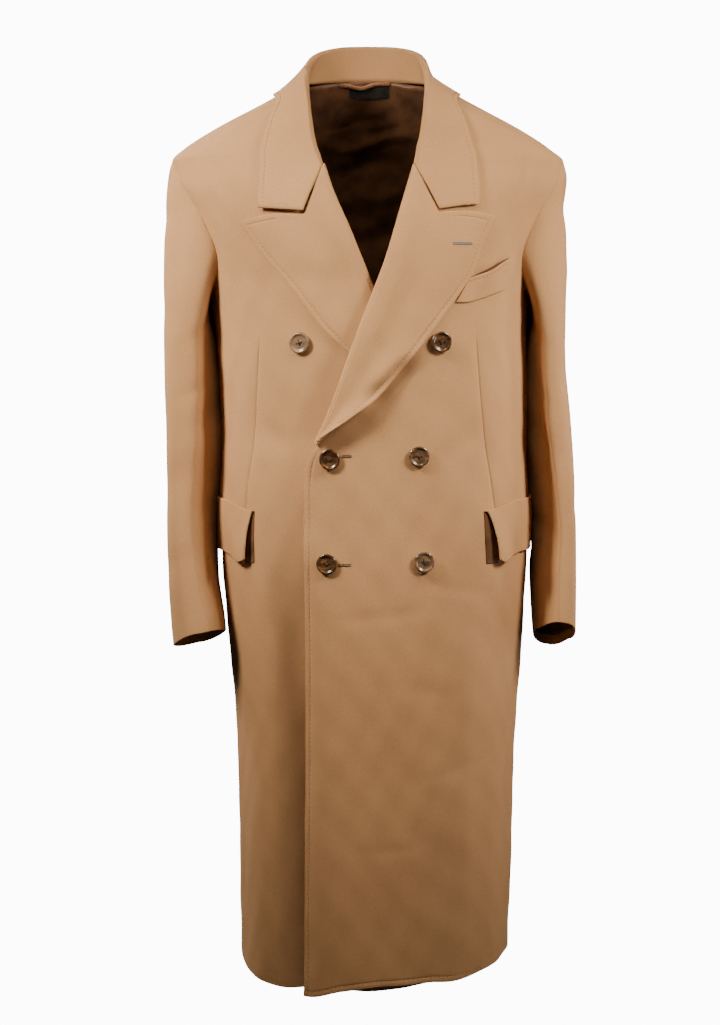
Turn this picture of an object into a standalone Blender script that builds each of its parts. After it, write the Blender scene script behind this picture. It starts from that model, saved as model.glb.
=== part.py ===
"""Double-breasted wool overcoat with peak lapels, filled out as if worn, with nobody in it.

Metres, +Z up, -Y is the front and +X is the wearer's left. The origin lies midway between the
shoulders at the neck's level, where the wearer holds the coat up. Every cloth piece is a thin
closed wall. The body panels are laid out on one surface, torso(turn, height): turn runs in degrees
round the body, 0 at the centre front, +90 at the wearer's left side and 180 at the centre back.
"""
import math

import bmesh
import bpy
from mathutils import Vector

# ---- Driving dimensions -----------------------------------------------------------------------
SEAM_GAP = 0.0003          # between pieces that are sewn together
CLOTH = 0.0022             # wall of the body and the sleeves
FACING = 0.0026            # wall of the lapels and the collar: two layers of cloth pressed flat
LINING = 0.0010            # satin, doubled where it is turned in
LIE = 0.0012               # air under a lapel or collar that lies on the panel
TUCK_GAP = 0.0016          # air between a panel and a facing tucked inside it
TUCK = 0.007               # how far a facing runs inside the roll line
FLAP_WALL = 0.0028

FOLD_LOW = CLOTH + TUCK_GAP + FACING           # visible face of a facing inside the panel
FOLD_HIGH = LIE + FACING                       # visible face of a facing that lies on the panel
FOLD_RADIUS = (FOLD_LOW + FOLD_HIGH) / 2
FOLD_LEVEL = (FOLD_HIGH - FOLD_LOW) / 2        # middle of the fold, from the panel's outer face

SIDE_SEAM_TURN = 96.0
SHOULDER_TURN = 90.0
UNDERARM_HEIGHT = -0.285
SHOULDER_POINT_HEIGHT = -0.0967
NECK_POINT_HEIGHT = 0.0126
BACK_NECK_HEIGHT = 0.0235

BUTTON_RADIUS = 0.0138
BUTTON_THICKNESS = 0.0042
BUTTON_SHANK = 0.0012
BUTTON_SIDES = 20

HIP_FLAP_HEIGHT = 0.071
HIP_FLAP_TURNS = 49.0      # how far a hip flap runs round the body, in degrees

FRONT_COLUMNS = 12
BACK_COLUMNS = 12
SKIRT_ROWS = 14            # rows below the armhole
ARMHOLE_ROWS = 10          # rows beside the armhole, up to the shoulder seam
GORGE_ROW = 5              # the one of them that meets the gorge
NECK_COLUMNS = 6           # steps round half the back neck
SHOULDER_SHARE = 0.53      # where the collar's sections pass the shoulder seam
BREAK_ROWS = 4             # rows of a front between its break and the armhole's level
BREAK_DROP = 0.004         # a front's edge leaves the roll line this far below the lapel's end,
BREAK_LENGTH = 0.013       # and swings out to its straight part over this length
FRONT_TOP = -0.300         # a front's free edge at the armhole's level
BACK_TOP = -0.285          # the centre-back seam at the armhole's level
BACK_RISE = 0.94           # share of the way to the neck that the back's rows climb beside the armhole
HEM_LEVEL = -1.19          # the hem's usual height, where the fronts' edges are measured
FOLD_ROOM = 1.12           # a front's edge stays this many fold radiuses off its roll line

WOOL = (0.58, 0.37, 0.20, 1.0)
SATIN = (0.055, 0.025, 0.014, 1.0)
LOOP_SATIN = (0.36, 0.17, 0.10, 1.0)
LABEL_BLACK = (0.010, 0.009, 0.009, 1.0)
HORN = (0.085, 0.040, 0.020, 1.0)


# ---- Tables -----------------------------------------------------------------------------------
class Table:
    """Rows of named columns, read at any key between them on a smooth curve that never overshoots."""

    def __init__(self, names, *rows):
        ordered = sorted(rows)
        self.keys = [row[0] for row in ordered]
        self.columns = {}
        for place, name in enumerate(names.split()):
            self.columns[name] = [row[place] for row in ordered]

    def slope(self, values, i):
        last = len(self.keys) - 1
        if i == 0 or i == last:
            a, b = (0, 1) if i == 0 else (last - 1, last)
            return (values[b] - values[a]) / (self.keys[b] - self.keys[a])
        before = (values[i] - values[i - 1]) / (self.keys[i] - self.keys[i - 1])
        after = (values[i + 1] - values[i]) / (self.keys[i + 1] - self.keys[i])
        if before * after <= 0:
            return 0.0
        return 2 * before * after / (before + after)

    def at(self, key, name):
        values = self.columns[name]
        if key <= self.keys[0]:
            return values[0]
        if key >= self.keys[-1]:
            return values[-1]
        i = 0
        while self.keys[i + 1] < key:
            i += 1
        span = self.keys[i + 1] - self.keys[i]
        s = (key - self.keys[i]) / span
        start, end = values[i], values[i + 1]
        out, into = self.slope(values, i) * span, self.slope(values, i + 1) * span
        return (start * (1 + 2 * s) * (1 - s) ** 2 + out * s * (1 - s) ** 2
                + end * s * s * (3 - 2 * s) + into * s * s * (s - 1))


# Sections of the body: the middle's x, half the width, the depth in front of and behind the
# shoulder line, and the power that shapes the curve from front to side (1 is an ellipse).
TORSO = Table(
    "height centre half_width front back power",
    (0.0320, -0.0035, 0.0620, 0.020, 0.0660, 1.00),
    (0.0235, -0.0040, 0.0760, 0.022, 0.0700, 1.00),
    (0.0126, -0.0045, 0.0900, 0.034, 0.0740, 1.00),
    (-0.0106, -0.0045, 0.1272, 0.054, 0.0830, 1.00),
    (-0.0536, -0.0045, 0.2091, 0.083, 0.1010, 1.00),
    (-0.0805, -0.0045, 0.2495, 0.0925, 0.1110, 1.00),
    (-0.0967, -0.0030, 0.2665, 0.0985, 0.1170, 1.00),
    (-0.1250, -0.0020, 0.2660, 0.1120, 0.1260, 0.96),
    (-0.1700, -0.0015, 0.2480, 0.1290, 0.1400, 0.92),
    (-0.2300, -0.0010, 0.2250, 0.1440, 0.1550, 0.88),
    (-0.2900, 0.0000, 0.2140, 0.1510, 0.1620, 0.85),
    (-0.3400, 0.0020, 0.2095, 0.1550, 0.1610, 0.85),
    (-0.4600, 0.0055, 0.2085, 0.1560, 0.1560, 0.85),
    (-0.5700, 0.0060, 0.2130, 0.1590, 0.1630, 0.85),
    (-0.6375, 0.0060, 0.2105, 0.1630, 0.1680, 0.87),
    (-0.7567, 0.0080, 0.2031, 0.1680, 0.1720, 0.90),
    (-0.8966, 0.0085, 0.1934, 0.1740, 0.1760, 0.94),
    (-1.0535, 0.0080, 0.1906, 0.1800, 0.1800, 0.98),
    (-1.2050, 0.0065, 0.1875, 0.1860, 0.1850, 1.00),
)

# The hem's height round the body, over the top of the fronts' overlap and under it.
HEM = Table(
    "turn over under",
    (-180.0, -1.1900, -1.1900),
    (-96.0, -1.1870, -1.1870),
    (-78.0, -1.2020, -1.2020),
    (-60.0, -1.2095, -1.2095),
    (-46.0, -1.2120, -1.2120),
    (-30.0, -1.2130, -1.2080),
    (-14.0, -1.1990, -1.2040),
    (4.0, -1.1905, -1.2000),
    (22.0, -1.1900, -1.1960),
    (34.0, -1.1930, -1.1930),
    (60.0, -1.1860, -1.1860),
    (96.0, -1.1870, -1.1870),
    (180.0, -1.1900, -1.1900),
)

# The armhole on the body, from the shoulder (0) down to the underarm (180).
ARMHOLE = Table(
    "angle height front back",
    (0.0, SHOULDER_POINT_HEIGHT, 90.0, 90.0),
    (14.0, -0.1020, 83.0, 98.0),
    (32.0, -0.1140, 76.5, 105.0),
    (55.0, -0.1400, 70.3, 111.5),
    (80.0, -0.1780, 66.0, 115.5),
    (102.0, -0.2120, 64.8, 117.0),
    (125.0, -0.2450, 67.5, 115.5),
    (145.0, -0.2680, 74.0, 111.0),
    (163.0, -0.2805, 84.0, 105.0),
    (180.0, UNDERARM_HEIGHT, SIDE_SEAM_TURN, SIDE_SEAM_TURN),
)

# Broad folds of the cloth: where each runs, half its width in degrees, its depth (minus is a
# trough), and how many degrees it drifts from its top to its bottom.
FOLDS = (
    # turn, top, bottom, width, depth, drift
    (-34.0, -0.60, -1.32, 8.0, -0.0070, 2.0),
    (-52.0, -0.66, -1.32, 8.5, 0.0035, -3.0),
    (-72.0, -0.72, -1.32, 8.0, -0.0030, -2.0),
    (54.0, -0.80, -1.32, 8.0, 0.0035, 3.0),
    (24.0, -0.92, -1.32, 10.0, -0.0035, -3.0),
    (72.0, -0.70, -1.32, 8.0, -0.0030, 2.0),
    (61.0, -0.20, -0.40, 7.0, -0.0030, -3.0),
    (-61.0, -0.20, -0.38, 7.0, -0.0028, 3.0),
    (118.0, -0.62, -1.32, 10.0, -0.0040, 3.0),
    (143.0, -0.56, -1.32, 11.0, 0.0040, 1.0),
    (166.0, -0.66, -1.32, 9.0, -0.0040, -2.0),
    (-119.0, -0.66, -1.32, 10.0, -0.0036, -4.0),
    (-146.0, -0.60, -1.32, 10.0, 0.0042, -2.0),
    (-168.0, -0.72, -1.32, 8.0, -0.0034, 2.0),
    (148.0, -0.12, -0.36, 9.0, 0.0030, -5.0),
    (-147.0, -0.13, -0.35, 9.0, 0.0030, 5.0),
)
FOLD_END = 0.16            # length over which a fold fades in and out

# The over front's straight edge below the lapel, and the two roll lines, by height.
OVER_EDGE = Table(
    "height x",
    (-1.2300, -0.0926), (-1.1200, -0.0920), (-0.9400, -0.0900), (-0.7000, -0.0882),
    (-0.5461, -0.0880), (-0.5072, -0.0850), (-0.4850, -0.0790),
)
UNDER_EDGE_X = 0.0960      # the under front's edge, hidden behind the over front
UNDER_FADE = (-74.0, -34.0)     # turns between which the under front sinks behind the over front

ROLL_LEFT = Table(
    "height x",
    (-0.4725, -0.0748), (-0.4379, -0.0586), (-0.3509, -0.0268), (-0.2675, 0.0052),
    (-0.2315, 0.0188), (-0.1694, 0.0372), (-0.1069, 0.0557),
)
ROLL_RIGHT = Table(
    "height x",
    (-0.4200, 0.0715), (-0.3500, 0.0410), (-0.2674, 0.0052), (-0.2296, -0.0108),
    (-0.1922, -0.0260), (-0.1402, -0.0487), (-0.1060, -0.0600),
)

# The lapels' outlines, as x and height. The top runs from the gorge's start along the gorge seam to
# the notch and on to the peak; the edge runs from the peak down to the break.
LAPEL_LEFT_TOP = ((0.0557, -0.1069), (0.0893, -0.1716), (0.1250, -0.1700), (0.1635, -0.1758))
LAPEL_LEFT_EDGE = (
    (0.1635, -0.1758), (0.1473, -0.2133), (0.1323, -0.2540), (0.1168, -0.2766), (0.0921, -0.3102),
    (0.0706, -0.3444), (0.0381, -0.3896), (0.0030, -0.4153), (-0.0217, -0.4364), (-0.0465, -0.4540),
    (-0.0640, -0.4660),
)
LAPEL_RIGHT_TOP = ((-0.0600, -0.1060), (-0.0872, -0.1735), (-0.1300, -0.1730), (-0.1739, -0.1825))
LAPEL_RIGHT_EDGE = (
    (-0.1739, -0.1825), (-0.1452, -0.2251), (-0.1107, -0.2652), (-0.0887, -0.2932),
    (-0.0685, -0.3190), (-0.0489, -0.3389), (-0.0288, -0.3558), (0.0080, -0.3800),
    (0.0400, -0.4030), (0.0590, -0.4150),
)
NOTCH_GAP = 0.0030         # between the collar's end and the lapel's peak
LAPEL_LIFT = {1: 0.0095, -1: 0.0}           # how far each lapel's lower edge stands off its panel
LIFT_DOWN = (0.45, 0.72)                    # where down the lapel it starts and is full,
LIFT_ACROSS = (0.35, 1.0)                   # and across it
ROLL_SWELL = 0.0022        # extra height of a turned-back piece beside its fold,
ROLL_SWELL_AT = 0.022      # this far from the fold,
ROLL_SWELL_REACH = 0.018   # and half its width
COLLAR_TIPS = {1: (0.1417, -0.1601), -1: (-0.1468, -0.1657)}

# The collar from the centre back (0) to the gorge (1): the neck seam on the body, the crest of its
# fold, and its outer edge on the body.
COLLAR = Table(
    "share seam_turn seam_height crest_left crest_right crest_y crest_z edge_turn edge_height",
    (0.00, 180.0, 0.0235, 0.0000, 0.0000, 0.0720, 0.0680, 180.0, -0.0040),
    (0.14, 160.0, 0.0228, 0.0290, 0.0270, 0.0690, 0.0672, 161.0, -0.0045),
    (0.27, 139.0, 0.0208, 0.0550, 0.0500, 0.0600, 0.0633, 141.0, -0.0060),
    (0.40, 116.0, 0.0170, 0.0728, 0.0700, 0.0420, 0.0538, 116.0, -0.0060),
    (0.53, 90.0, 0.0126, 0.0785, 0.0790, 0.0130, 0.0335, 80.0, -0.0108),
    (0.64, 55.0, 0.0000, 0.0778, 0.0780, -0.0200, 0.0060, 57.0, -0.0195),
    (0.76, 36.0, -0.0200, 0.0758, 0.0758, -0.0470, -0.0240, 40.0, -0.0500),
    (0.88, 22.0, -0.0600, 0.0700, 0.0700, -0.0790, -0.0640, 32.3, -0.1000),
    (1.00, 13.3, -0.1112, 0.0589, 0.0602, -0.1003, -0.1065, 34.8, -0.1620),
)
COLLAR_TUCK = 0.0035
COLLAR_AIR = 0.0018        # extra air under the fall where it turns over the shoulder
FALL_SWELL = 0.003         # the fall's bulge at the back,
FALL_HOLLOW = {1: -0.0090, -1: -0.0020}     # and its sink at the shoulder, for each side
GORGE_BLEND = 0.70         # from here to the gorge the fall turns to its kinked end

# Sleeves from below the armhole to the cuff: the far and near side from the coat's middle plane,
# for each arm, how far each is turned in at its front (degrees), the middle's y and half the depth.
SLEEVE = Table(
    "height far_left near_left turned_left far_right near_right turned_right middle_y half_depth",
    (-0.3450, 0.2655, 0.2135, -3.0, 0.2815, 0.2085, -2.0, 0.0000, 0.0750),
    (-0.4000, 0.2690, 0.2142, -4.0, 0.2805, 0.2045, -4.0, -0.0025, 0.0735),
    (-0.4600, 0.2742, 0.2150, -6.0, 0.2783, 0.2030, -6.0, -0.0065, 0.0710),
    (-0.5300, 0.2778, 0.2215, -9.0, 0.2772, 0.2090, -8.0, -0.0130, 0.0685),
    (-0.6000, 0.2792, 0.2242, -12.0, 0.2768, 0.2132, -6.0, -0.0220, 0.0660),
    (-0.6600, 0.2795, 0.2220, -12.0, 0.2757, 0.2095, -2.0, -0.0305, 0.0640),
    (-0.7200, 0.2790, 0.2240, -10.0, 0.2732, 0.1985, 3.0, -0.0395, 0.0620),
    (-0.7700, 0.2780, 0.2285, -8.0, 0.2690, 0.1935, 5.0, -0.0460, 0.0610),
)
SLEEVE_TOP = -0.3450
SLEEVE_POWER = 0.78

# Folds of the sleeves: the arm's side, the angle and height of each, half its reach in degrees and
# in height, its depth (minus is a trough), and its slope in metres of height for each 90 degrees.
SLEEVE_FOLDS = (
    (1, 0.0, -0.1180, 48.0, 0.015, 0.0022, 0.0),
    (1, 0.0, -0.1660, 52.0, 0.020, -0.0042, 0.012),
    (-1, 30.0, -0.1720, 40.0, 0.018, -0.0022, 0.020),
    (1, 150.0, -0.4700, 55.0, 0.022, -0.0030, 0.030),
    (1, 60.0, -0.3900, 45.0, 0.026, -0.0020, -0.035),
    (-1, 150.0, -0.4450, 55.0, 0.022, -0.0030, 0.030),
    (-1, 80.0, -0.5200, 50.0, 0.026, -0.0022, 0.040),
    (1, 290.0, -0.5150, 50.0, 0.024, -0.0030, -0.040),
    (-1, 285.0, -0.5000, 50.0, 0.024, -0.0030, -0.035),
    (1, 270.0, -0.3400, 45.0, 0.030, -0.0026, 0.040),
    (-1, 270.0, -0.3550, 45.0, 0.030, -0.0026, 0.045),
)
CUFF = {1: (-0.7400, 0.0240, 108.0), -1: (-0.7460, 0.0180, 125.0)}   # height, tilt, highest at
SLEEVE_SEAM_STEPS = 6       # the sleeve's seams lie this many armhole steps from the shoulder
SLEEVE_CAP_ROWS = 6
CAP_LIFT = {1: 16.0, -1: 40.0}   # how steeply each cap leaves the shoulder's end, in degrees
CAP_LEAVE = (0.075, 0.016)       # how strongly a sleeve leaves the armhole, on top and underneath,
CAP_ARRIVE = (0.170, 0.050)      # and how strongly it turns down into the arm
SLEEVE_ARM_ROWS = 9
SPLIT_ROW = 2              # the arm's row where the left top sleeve is divided in two lengths
SLEEVE_RADIUS = 0.040      # a sleeve's radius at its seams
LINING_TOP = 0.110         # how far a sleeve's lining is built up from the cuff
LINING_INSET = 0.014       # how far it starts inside the cuff
CUFF_LINING_AIR = 0.0018   # between it and the sleeve

# How far the under front lies behind the surface of the over front.
UNDER_DEPTH = Table(
    "height depth",
    (-1.2100, 0.0165), (-1.0000, 0.0115), (-0.7500, 0.0080), (-0.5600, 0.0065), (-0.5000, 0.0090),
    (-0.4600, 0.0140), (-0.2650, 0.0140), (-0.2300, 0.0105), (-0.1600, 0.0025), (-0.1200, 0.0000),
)

BUTTONS = (
    # name, x, height
    ("button_top_left", 0.0916, -0.3406),
    ("button_top_right", -0.0971, -0.3419),
    ("button_middle_left", 0.0631, -0.4899),
    ("button_middle_right", -0.0529, -0.4938),
    ("button_bottom_left", 0.0698, -0.6283),
    ("button_bottom_right", -0.0569, -0.6309),
)

HIP_FLAPS = (
    # name, side, turn and height of the upper front corner, how far the lower corner swings out
    ("pocket_flap_left", 1, 42.2, -0.5636, 8.0),
    ("pocket_flap_right", -1, -48.8, -0.5646, 6.5),
)
FLAP_AIR = 0.0008          # under a flap's upper edge
FLAP_STAND = 0.0012        # how much further its lower edge stands off,
FLAP_FRONT_STAND = 0.0065  # and how much more still at its front corner
FLAP_RISE = 0.012          # how much higher its back end sits
FLAP_ROUNDING = 0.006      # how far its lower corners are rounded up
WELT_AIR = 0.0006
WELT_WALL = 0.0020
WELT_GAPE = 0.0035         # how far the chest pocket's mouth stands open
WELT_LOWER = ((0.1104, -0.2892), (0.1264, -0.2891), (0.1440, -0.2844), (0.1674, -0.2756),
              (0.1758, -0.2722))
WELT_UPPER = ((0.1304, -0.2568), (0.1439, -0.2521), (0.1575, -0.2463), (0.1713, -0.2373),
              (0.1839, -0.2292))
NECK_TRIM_AIR = 0.0006     # between the lining and what is sewn on it
LABEL_BOX = (-0.030, 0.029, 0.0005, 0.0145)      # x and height, from low to high
LOOP_BOX = (-0.046, 0.030, 0.0155, 0.0205)
LABEL_WALL = 0.0008
LOOP_WALL = 0.0014
LOOP_ARCH = 0.0030         # how far the loop's middle stands off


# ---- The body's surface -----------------------------------------------------------------------
def clamp(value, low=0.0, high=1.0):
    return max(low, min(high, value))


def soft_step(low, high, value):
    s = clamp((value - low) / (high - low))
    return s * s * (3 - 2 * s)


def mix(a, b, share):
    return a + (b - a) * share


def spread(low, high, count):
    return [mix(low, high, i / (count - 1)) for i in range(count)]


def torso(turn, height):
    angle = math.radians(turn)
    reach = abs(math.cos(angle)) ** TORSO.at(height, "power")
    if math.cos(angle) >= 0:
        y = -TORSO.at(height, "front") * reach
    else:
        y = TORSO.at(height, "back") * reach
    x = TORSO.at(height, "centre") + TORSO.at(height, "half_width") * math.sin(angle)
    return Vector((x, y, height))


def torso_normal(turn, height):
    across = torso(turn + 0.5, height) - torso(turn - 0.5, height)
    up = torso(turn, height + 0.001) - torso(turn, height - 0.001)
    return across.cross(up).normalized()


def relief(turn, height):
    """Height of the cloth's broad folds over the plain body."""
    total = 0.0
    for middle, top, bottom, width, depth, drift in FOLDS:
        if not bottom < height < top:
            continue
        share = (top - height) / (top - bottom)
        away = (turn - middle - drift * share) / width
        if abs(away) > 3:
            continue
        fade = soft_step(0, FOLD_END, top - height) * soft_step(0, FOLD_END, height - bottom)
        total += depth * fade * math.exp(-away * away)
    return total


def cloth(turn, height, out=0.0):
    """A point on the coat's outer face, moved out along the surface's own direction."""
    return torso(turn, height) + torso_normal(turn, height) * (relief(turn, height) + out)


def turn_at(x, height):
    """The turn on the front that has this x at this height."""
    share = (x - TORSO.at(height, "centre")) / TORSO.at(height, "half_width")
    return math.degrees(math.asin(clamp(share, -1.0, 1.0)))


def under_depth(turn, height):
    """How far the under front is pressed in, fading out before the wearer's right side."""
    return UNDER_DEPTH.at(height, "depth") * soft_step(*UNDER_FADE, turn)


def turn_step(turn, height, distance):
    """Degrees of turn that cover a distance along the body's surface."""
    across = torso(turn + 0.5, height) - torso(turn - 0.5, height)
    return distance / max(across.length, 1e-5)


def clear_of_torso(point, clearance, turn, height):
    """Moves a point out until it is clear of the body, starting from a nearby turn and height."""
    turn_stride, height_stride = 6.0, 0.008
    best = (torso(turn, height) - point).length
    while turn_stride > 0.2:
        moved = False
        for turn_way, height_way in ((1, 0), (-1, 0), (0, 1), (0, -1)):
            other_turn = turn + turn_way * turn_stride
            other_height = height + height_way * height_stride
            distance = (torso(other_turn, other_height) - point).length
            if distance < best:
                best, turn, height, moved = distance, other_turn, other_height, True
        if not moved:
            turn_stride, height_stride = turn_stride / 2, height_stride / 2
    normal = torso_normal(turn, height)
    gap = (point - torso(turn, height)).dot(normal) - relief(turn, height)
    if gap < clearance:
        point = point + normal * (clearance - gap)
    return point


# ---- Meshes -----------------------------------------------------------------------------------
def make_material(name, colour, roughness):
    material = bpy.data.materials.new(name)
    material.use_nodes = True
    shader = material.node_tree.nodes["Principled BSDF"]
    shader.inputs["Base Color"].default_value = colour
    shader.inputs["Roughness"].default_value = roughness
    shader.inputs["Metallic"].default_value = 0.0
    return material


def add_object(name, vertices, faces, colour, roughness, smooth_angle=50.0):
    mesh = bpy.data.meshes.new(name)
    mesh.from_pydata([tuple(v) for v in vertices], [], faces)
    bm = bmesh.new()
    bm.from_mesh(mesh)
    bmesh.ops.recalc_face_normals(bm, faces=bm.faces)
    bm.to_mesh(mesh)
    bm.free()
    mesh.materials.append(make_material(name + "_finish", colour, roughness))
    mesh.shade_smooth()
    mesh.set_sharp_from_angle(angle=math.radians(smooth_angle))
    piece = bpy.data.objects.new(name, mesh)
    bpy.context.scene.collection.objects.link(piece)
    return piece


def wall_between(name, outer, inner, colour=WOOL, roughness=0.9):
    """A closed wall from two matching grids of points, its two faces."""
    rows, columns = len(outer), len(outer[0])
    vertices = [point for grid in (outer, inner) for row in grid for point in row]
    layer = rows * columns
    faces = []
    for r in range(rows - 1):
        for c in range(columns - 1):
            a, b = r * columns + c, (r + 1) * columns + c
            faces += [(a, a + 1, b + 1), (a, b + 1, b)]
            a, b = a + layer, b + layer
            faces += [(a, b + 1, a + 1), (a, b, b + 1)]
    rim = [c for c in range(columns)]
    rim += [r * columns + columns - 1 for r in range(1, rows)]
    rim += [(rows - 1) * columns + c for c in range(columns - 2, -1, -1)]
    rim += [r * columns for r in range(rows - 2, 0, -1)]
    for here, there in zip(rim, rim[1:] + rim[:1]):
        faces.append((there, here, here + layer, there + layer))
    return add_object(name, vertices, faces, colour, roughness)


def grid_normals(grid):
    """Unit normals of a grid of points, from its own rows and columns."""
    rows, columns = len(grid), len(grid[0])
    normals = []
    for r in range(rows):
        line = []
        for c in range(columns):
            along = grid[r][min(c + 1, columns - 1)] - grid[r][max(c - 1, 0)]
            down = grid[min(r + 1, rows - 1)][c] - grid[max(r - 1, 0)][c]
            line.append(along.cross(down).normalized())
        normals.append(line)
    return normals


def wall_under(name, outer, wall, flip=False, colour=WOOL, roughness=0.9):
    """A closed wall of even thickness behind one grid of points."""
    sign = 1.0 if flip else -1.0
    inner = []
    for points, normals in zip(outer, grid_normals(outer)):
        inner.append([p + n * (sign * wall) for p, n in zip(points, normals)])
    return wall_between(name, outer, inner, colour, roughness)


# ---- Body panels ------------------------------------------------------------------------------
def along_line(points, share):
    """A point at a share of the length of a line of (x, height) points."""
    lengths = [math.dist(a, b) for a, b in zip(points, points[1:])]
    target = clamp(share) * sum(lengths)
    for (a, b), length in zip(zip(points, points[1:]), lengths):
        if target <= length or b is points[-1]:
            s = clamp(target / length)
            return (mix(a[0], b[0], s), mix(a[1], b[1], s))
        target -= length
    return points[-1]


def armhole_point(side, angle, back=False):
    """Turn and height of the armhole at an angle from the shoulder, down its front or back."""
    turn = ARMHOLE.at(angle, "back" if back else "front")
    return side * turn, ARMHOLE.at(angle, "height")


def panel_from_grid(name, grid, depth):
    """A body panel from rows of (turn, height) points; depth gives how far each is set in."""
    outer, inner = [], []
    for line in grid:
        insets = [depth(turn, height) for turn, height in line]
        outer.append([cloth(t, h, -inset) for (t, h), inset in zip(line, insets)])
        inner.append([cloth(t, h, -inset - CLOTH) for (t, h), inset in zip(line, insets)])
    wall_between(name, outer, inner)


def row_between(start, end, count):
    return [(mix(start[0], end[0], c / (count - 1)), mix(start[1], end[1], c / (count - 1)))
            for c in range(count)]


def follow_hem(line, hem_column, share):
    """Bends a skirt row so that the lowest follows the hem; share is 1 at the hem and 0 on top."""
    (turn_a, height_a), (turn_b, height_b) = line[0], line[-1]
    hem_a, hem_b = HEM.at(turn_a, hem_column), HEM.at(turn_b, hem_column)
    bent = []
    for turn, height in line:
        straight = mix(hem_a, hem_b, (turn - turn_a) / (turn_b - turn_a))
        bent.append((turn, height + (HEM.at(turn, hem_column) - straight) * share))
    return bent


def neck_edge(side, share):
    """The body's neck edge from the gorge (0) to the shoulder seam (1)."""
    station = mix(1.0, SHOULDER_SHARE, share)
    return side * COLLAR.at(station, "seam_turn"), COLLAR.at(station, "seam_height")


def front_inner_edge(side, roll, height, edge_x):
    """Turn of a front's free edge at a height: its straight edge, or its fold at the roll line."""
    fold_inset = side * FOLD_RADIUS * FOLD_ROOM
    roll_low, roll_high = roll.keys[0], roll.keys[-1]
    x_roll = roll.at(clamp(height, roll_low, roll_high), "x") + fold_inset
    share = soft_step(roll_low - BREAK_DROP - BREAK_LENGTH, roll_low - BREAK_DROP, height)
    return turn_at(mix(edge_x(height), x_roll, share), height)


def front_grid(side, roll, edge_x, hem_column):
    seam = side * (SIDE_SEAM_TURN - turn_step(SIDE_SEAM_TURN, UNDERARM_HEIGHT, SEAM_GAP))
    gorge_height, break_height = roll.keys[-1], roll.keys[0] - BREAK_DROP
    hem_turn = turn_at(edge_x(HEM_LEVEL), HEM_LEVEL)
    inner_heights = spread(HEM.at(hem_turn, hem_column), break_height - BREAK_LENGTH,
                           SKIRT_ROWS - BREAK_ROWS)
    inner_heights += spread(break_height, FRONT_TOP, BREAK_ROWS)
    grid = []
    for r in range(SKIRT_ROWS):
        share = r / (SKIRT_ROWS - 1)
        outer_height = mix(HEM.at(seam, hem_column), UNDERARM_HEIGHT, share)
        inner_turn = front_inner_edge(side, roll, inner_heights[r], edge_x)
        line = row_between((inner_turn, inner_heights[r]), (seam, outer_height), FRONT_COLUMNS)
        grid.append(follow_hem(line, hem_column, 1 - share))
    for r in range(1, ARMHOLE_ROWS):
        if r < GORGE_ROW:
            inner_height = mix(FRONT_TOP, gorge_height, r / GORGE_ROW)
            inner = (front_inner_edge(side, roll, inner_height, edge_x), inner_height)
        else:
            inner = neck_edge(side, (r - GORGE_ROW) / (ARMHOLE_ROWS - GORGE_ROW))
        outer = armhole_point(side, 180 * (1 - r / ARMHOLE_ROWS))
        grid.append(row_between(inner, outer, FRONT_COLUMNS))
    gap_neck = turn_step(SHOULDER_TURN, NECK_POINT_HEIGHT, SEAM_GAP)
    gap_arm = turn_step(SHOULDER_TURN, SHOULDER_POINT_HEIGHT, SEAM_GAP)
    grid.append(row_between((side * (SHOULDER_TURN - gap_neck), NECK_POINT_HEIGHT),
                            (side * (SHOULDER_TURN - gap_arm), SHOULDER_POINT_HEIGHT),
                            FRONT_COLUMNS))
    return grid


def make_fronts():
    left = front_grid(1, ROLL_LEFT, lambda height: OVER_EDGE.at(height, "x"), "over")
    panel_from_grid("front_left", left, lambda turn, height: 0.0)
    right = front_grid(-1, ROLL_RIGHT, lambda height: UNDER_EDGE_X, "under")
    panel_from_grid("front_right", right, under_depth)


def back_grid(side):
    """One back panel from the centre-back seam out: rows across, the last ones fanned to the
    shoulder, and the neck and shoulder line on top."""
    rows = []
    for r in range(SKIRT_ROWS):
        share = r / (SKIRT_ROWS - 1)
        height_in = mix(HEM.at(180.0, "over"), BACK_TOP, share)
        height_out = mix(HEM.at(side * SIDE_SEAM_TURN, "over"), UNDERARM_HEIGHT, share)
        seam = SIDE_SEAM_TURN + turn_step(SIDE_SEAM_TURN, height_out, SEAM_GAP / 2)
        rows.append((height_in, (side * seam, height_out)))
    for r in range(1, ARMHOLE_ROWS):
        share = r / ARMHOLE_ROWS
        height_in = mix(BACK_TOP, BACK_NECK_HEIGHT, share * BACK_RISE)
        rows.append((height_in, armhole_point(side, 180 * (1 - share), back=True)))
    grid = []
    for height_in, outer in rows:
        centre = 180.0 - turn_step(180.0, height_in, SEAM_GAP / 2)
        grid.append(row_between((side * centre, height_in), outer, BACK_COLUMNS))
    for r in range(SKIRT_ROWS):
        grid[r] = follow_hem(grid[r], "over", 1 - r / (SKIRT_ROWS - 1))
    grid.append(shoulder_and_neck_line(side))
    return grid


def make_backs():
    panel_from_grid("back_left", back_grid(1), lambda turn, height: 0.0)
    right = [list(reversed(line)) for line in back_grid(-1)]
    panel_from_grid("back_right", right, lambda turn, height: 0.0)


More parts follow.
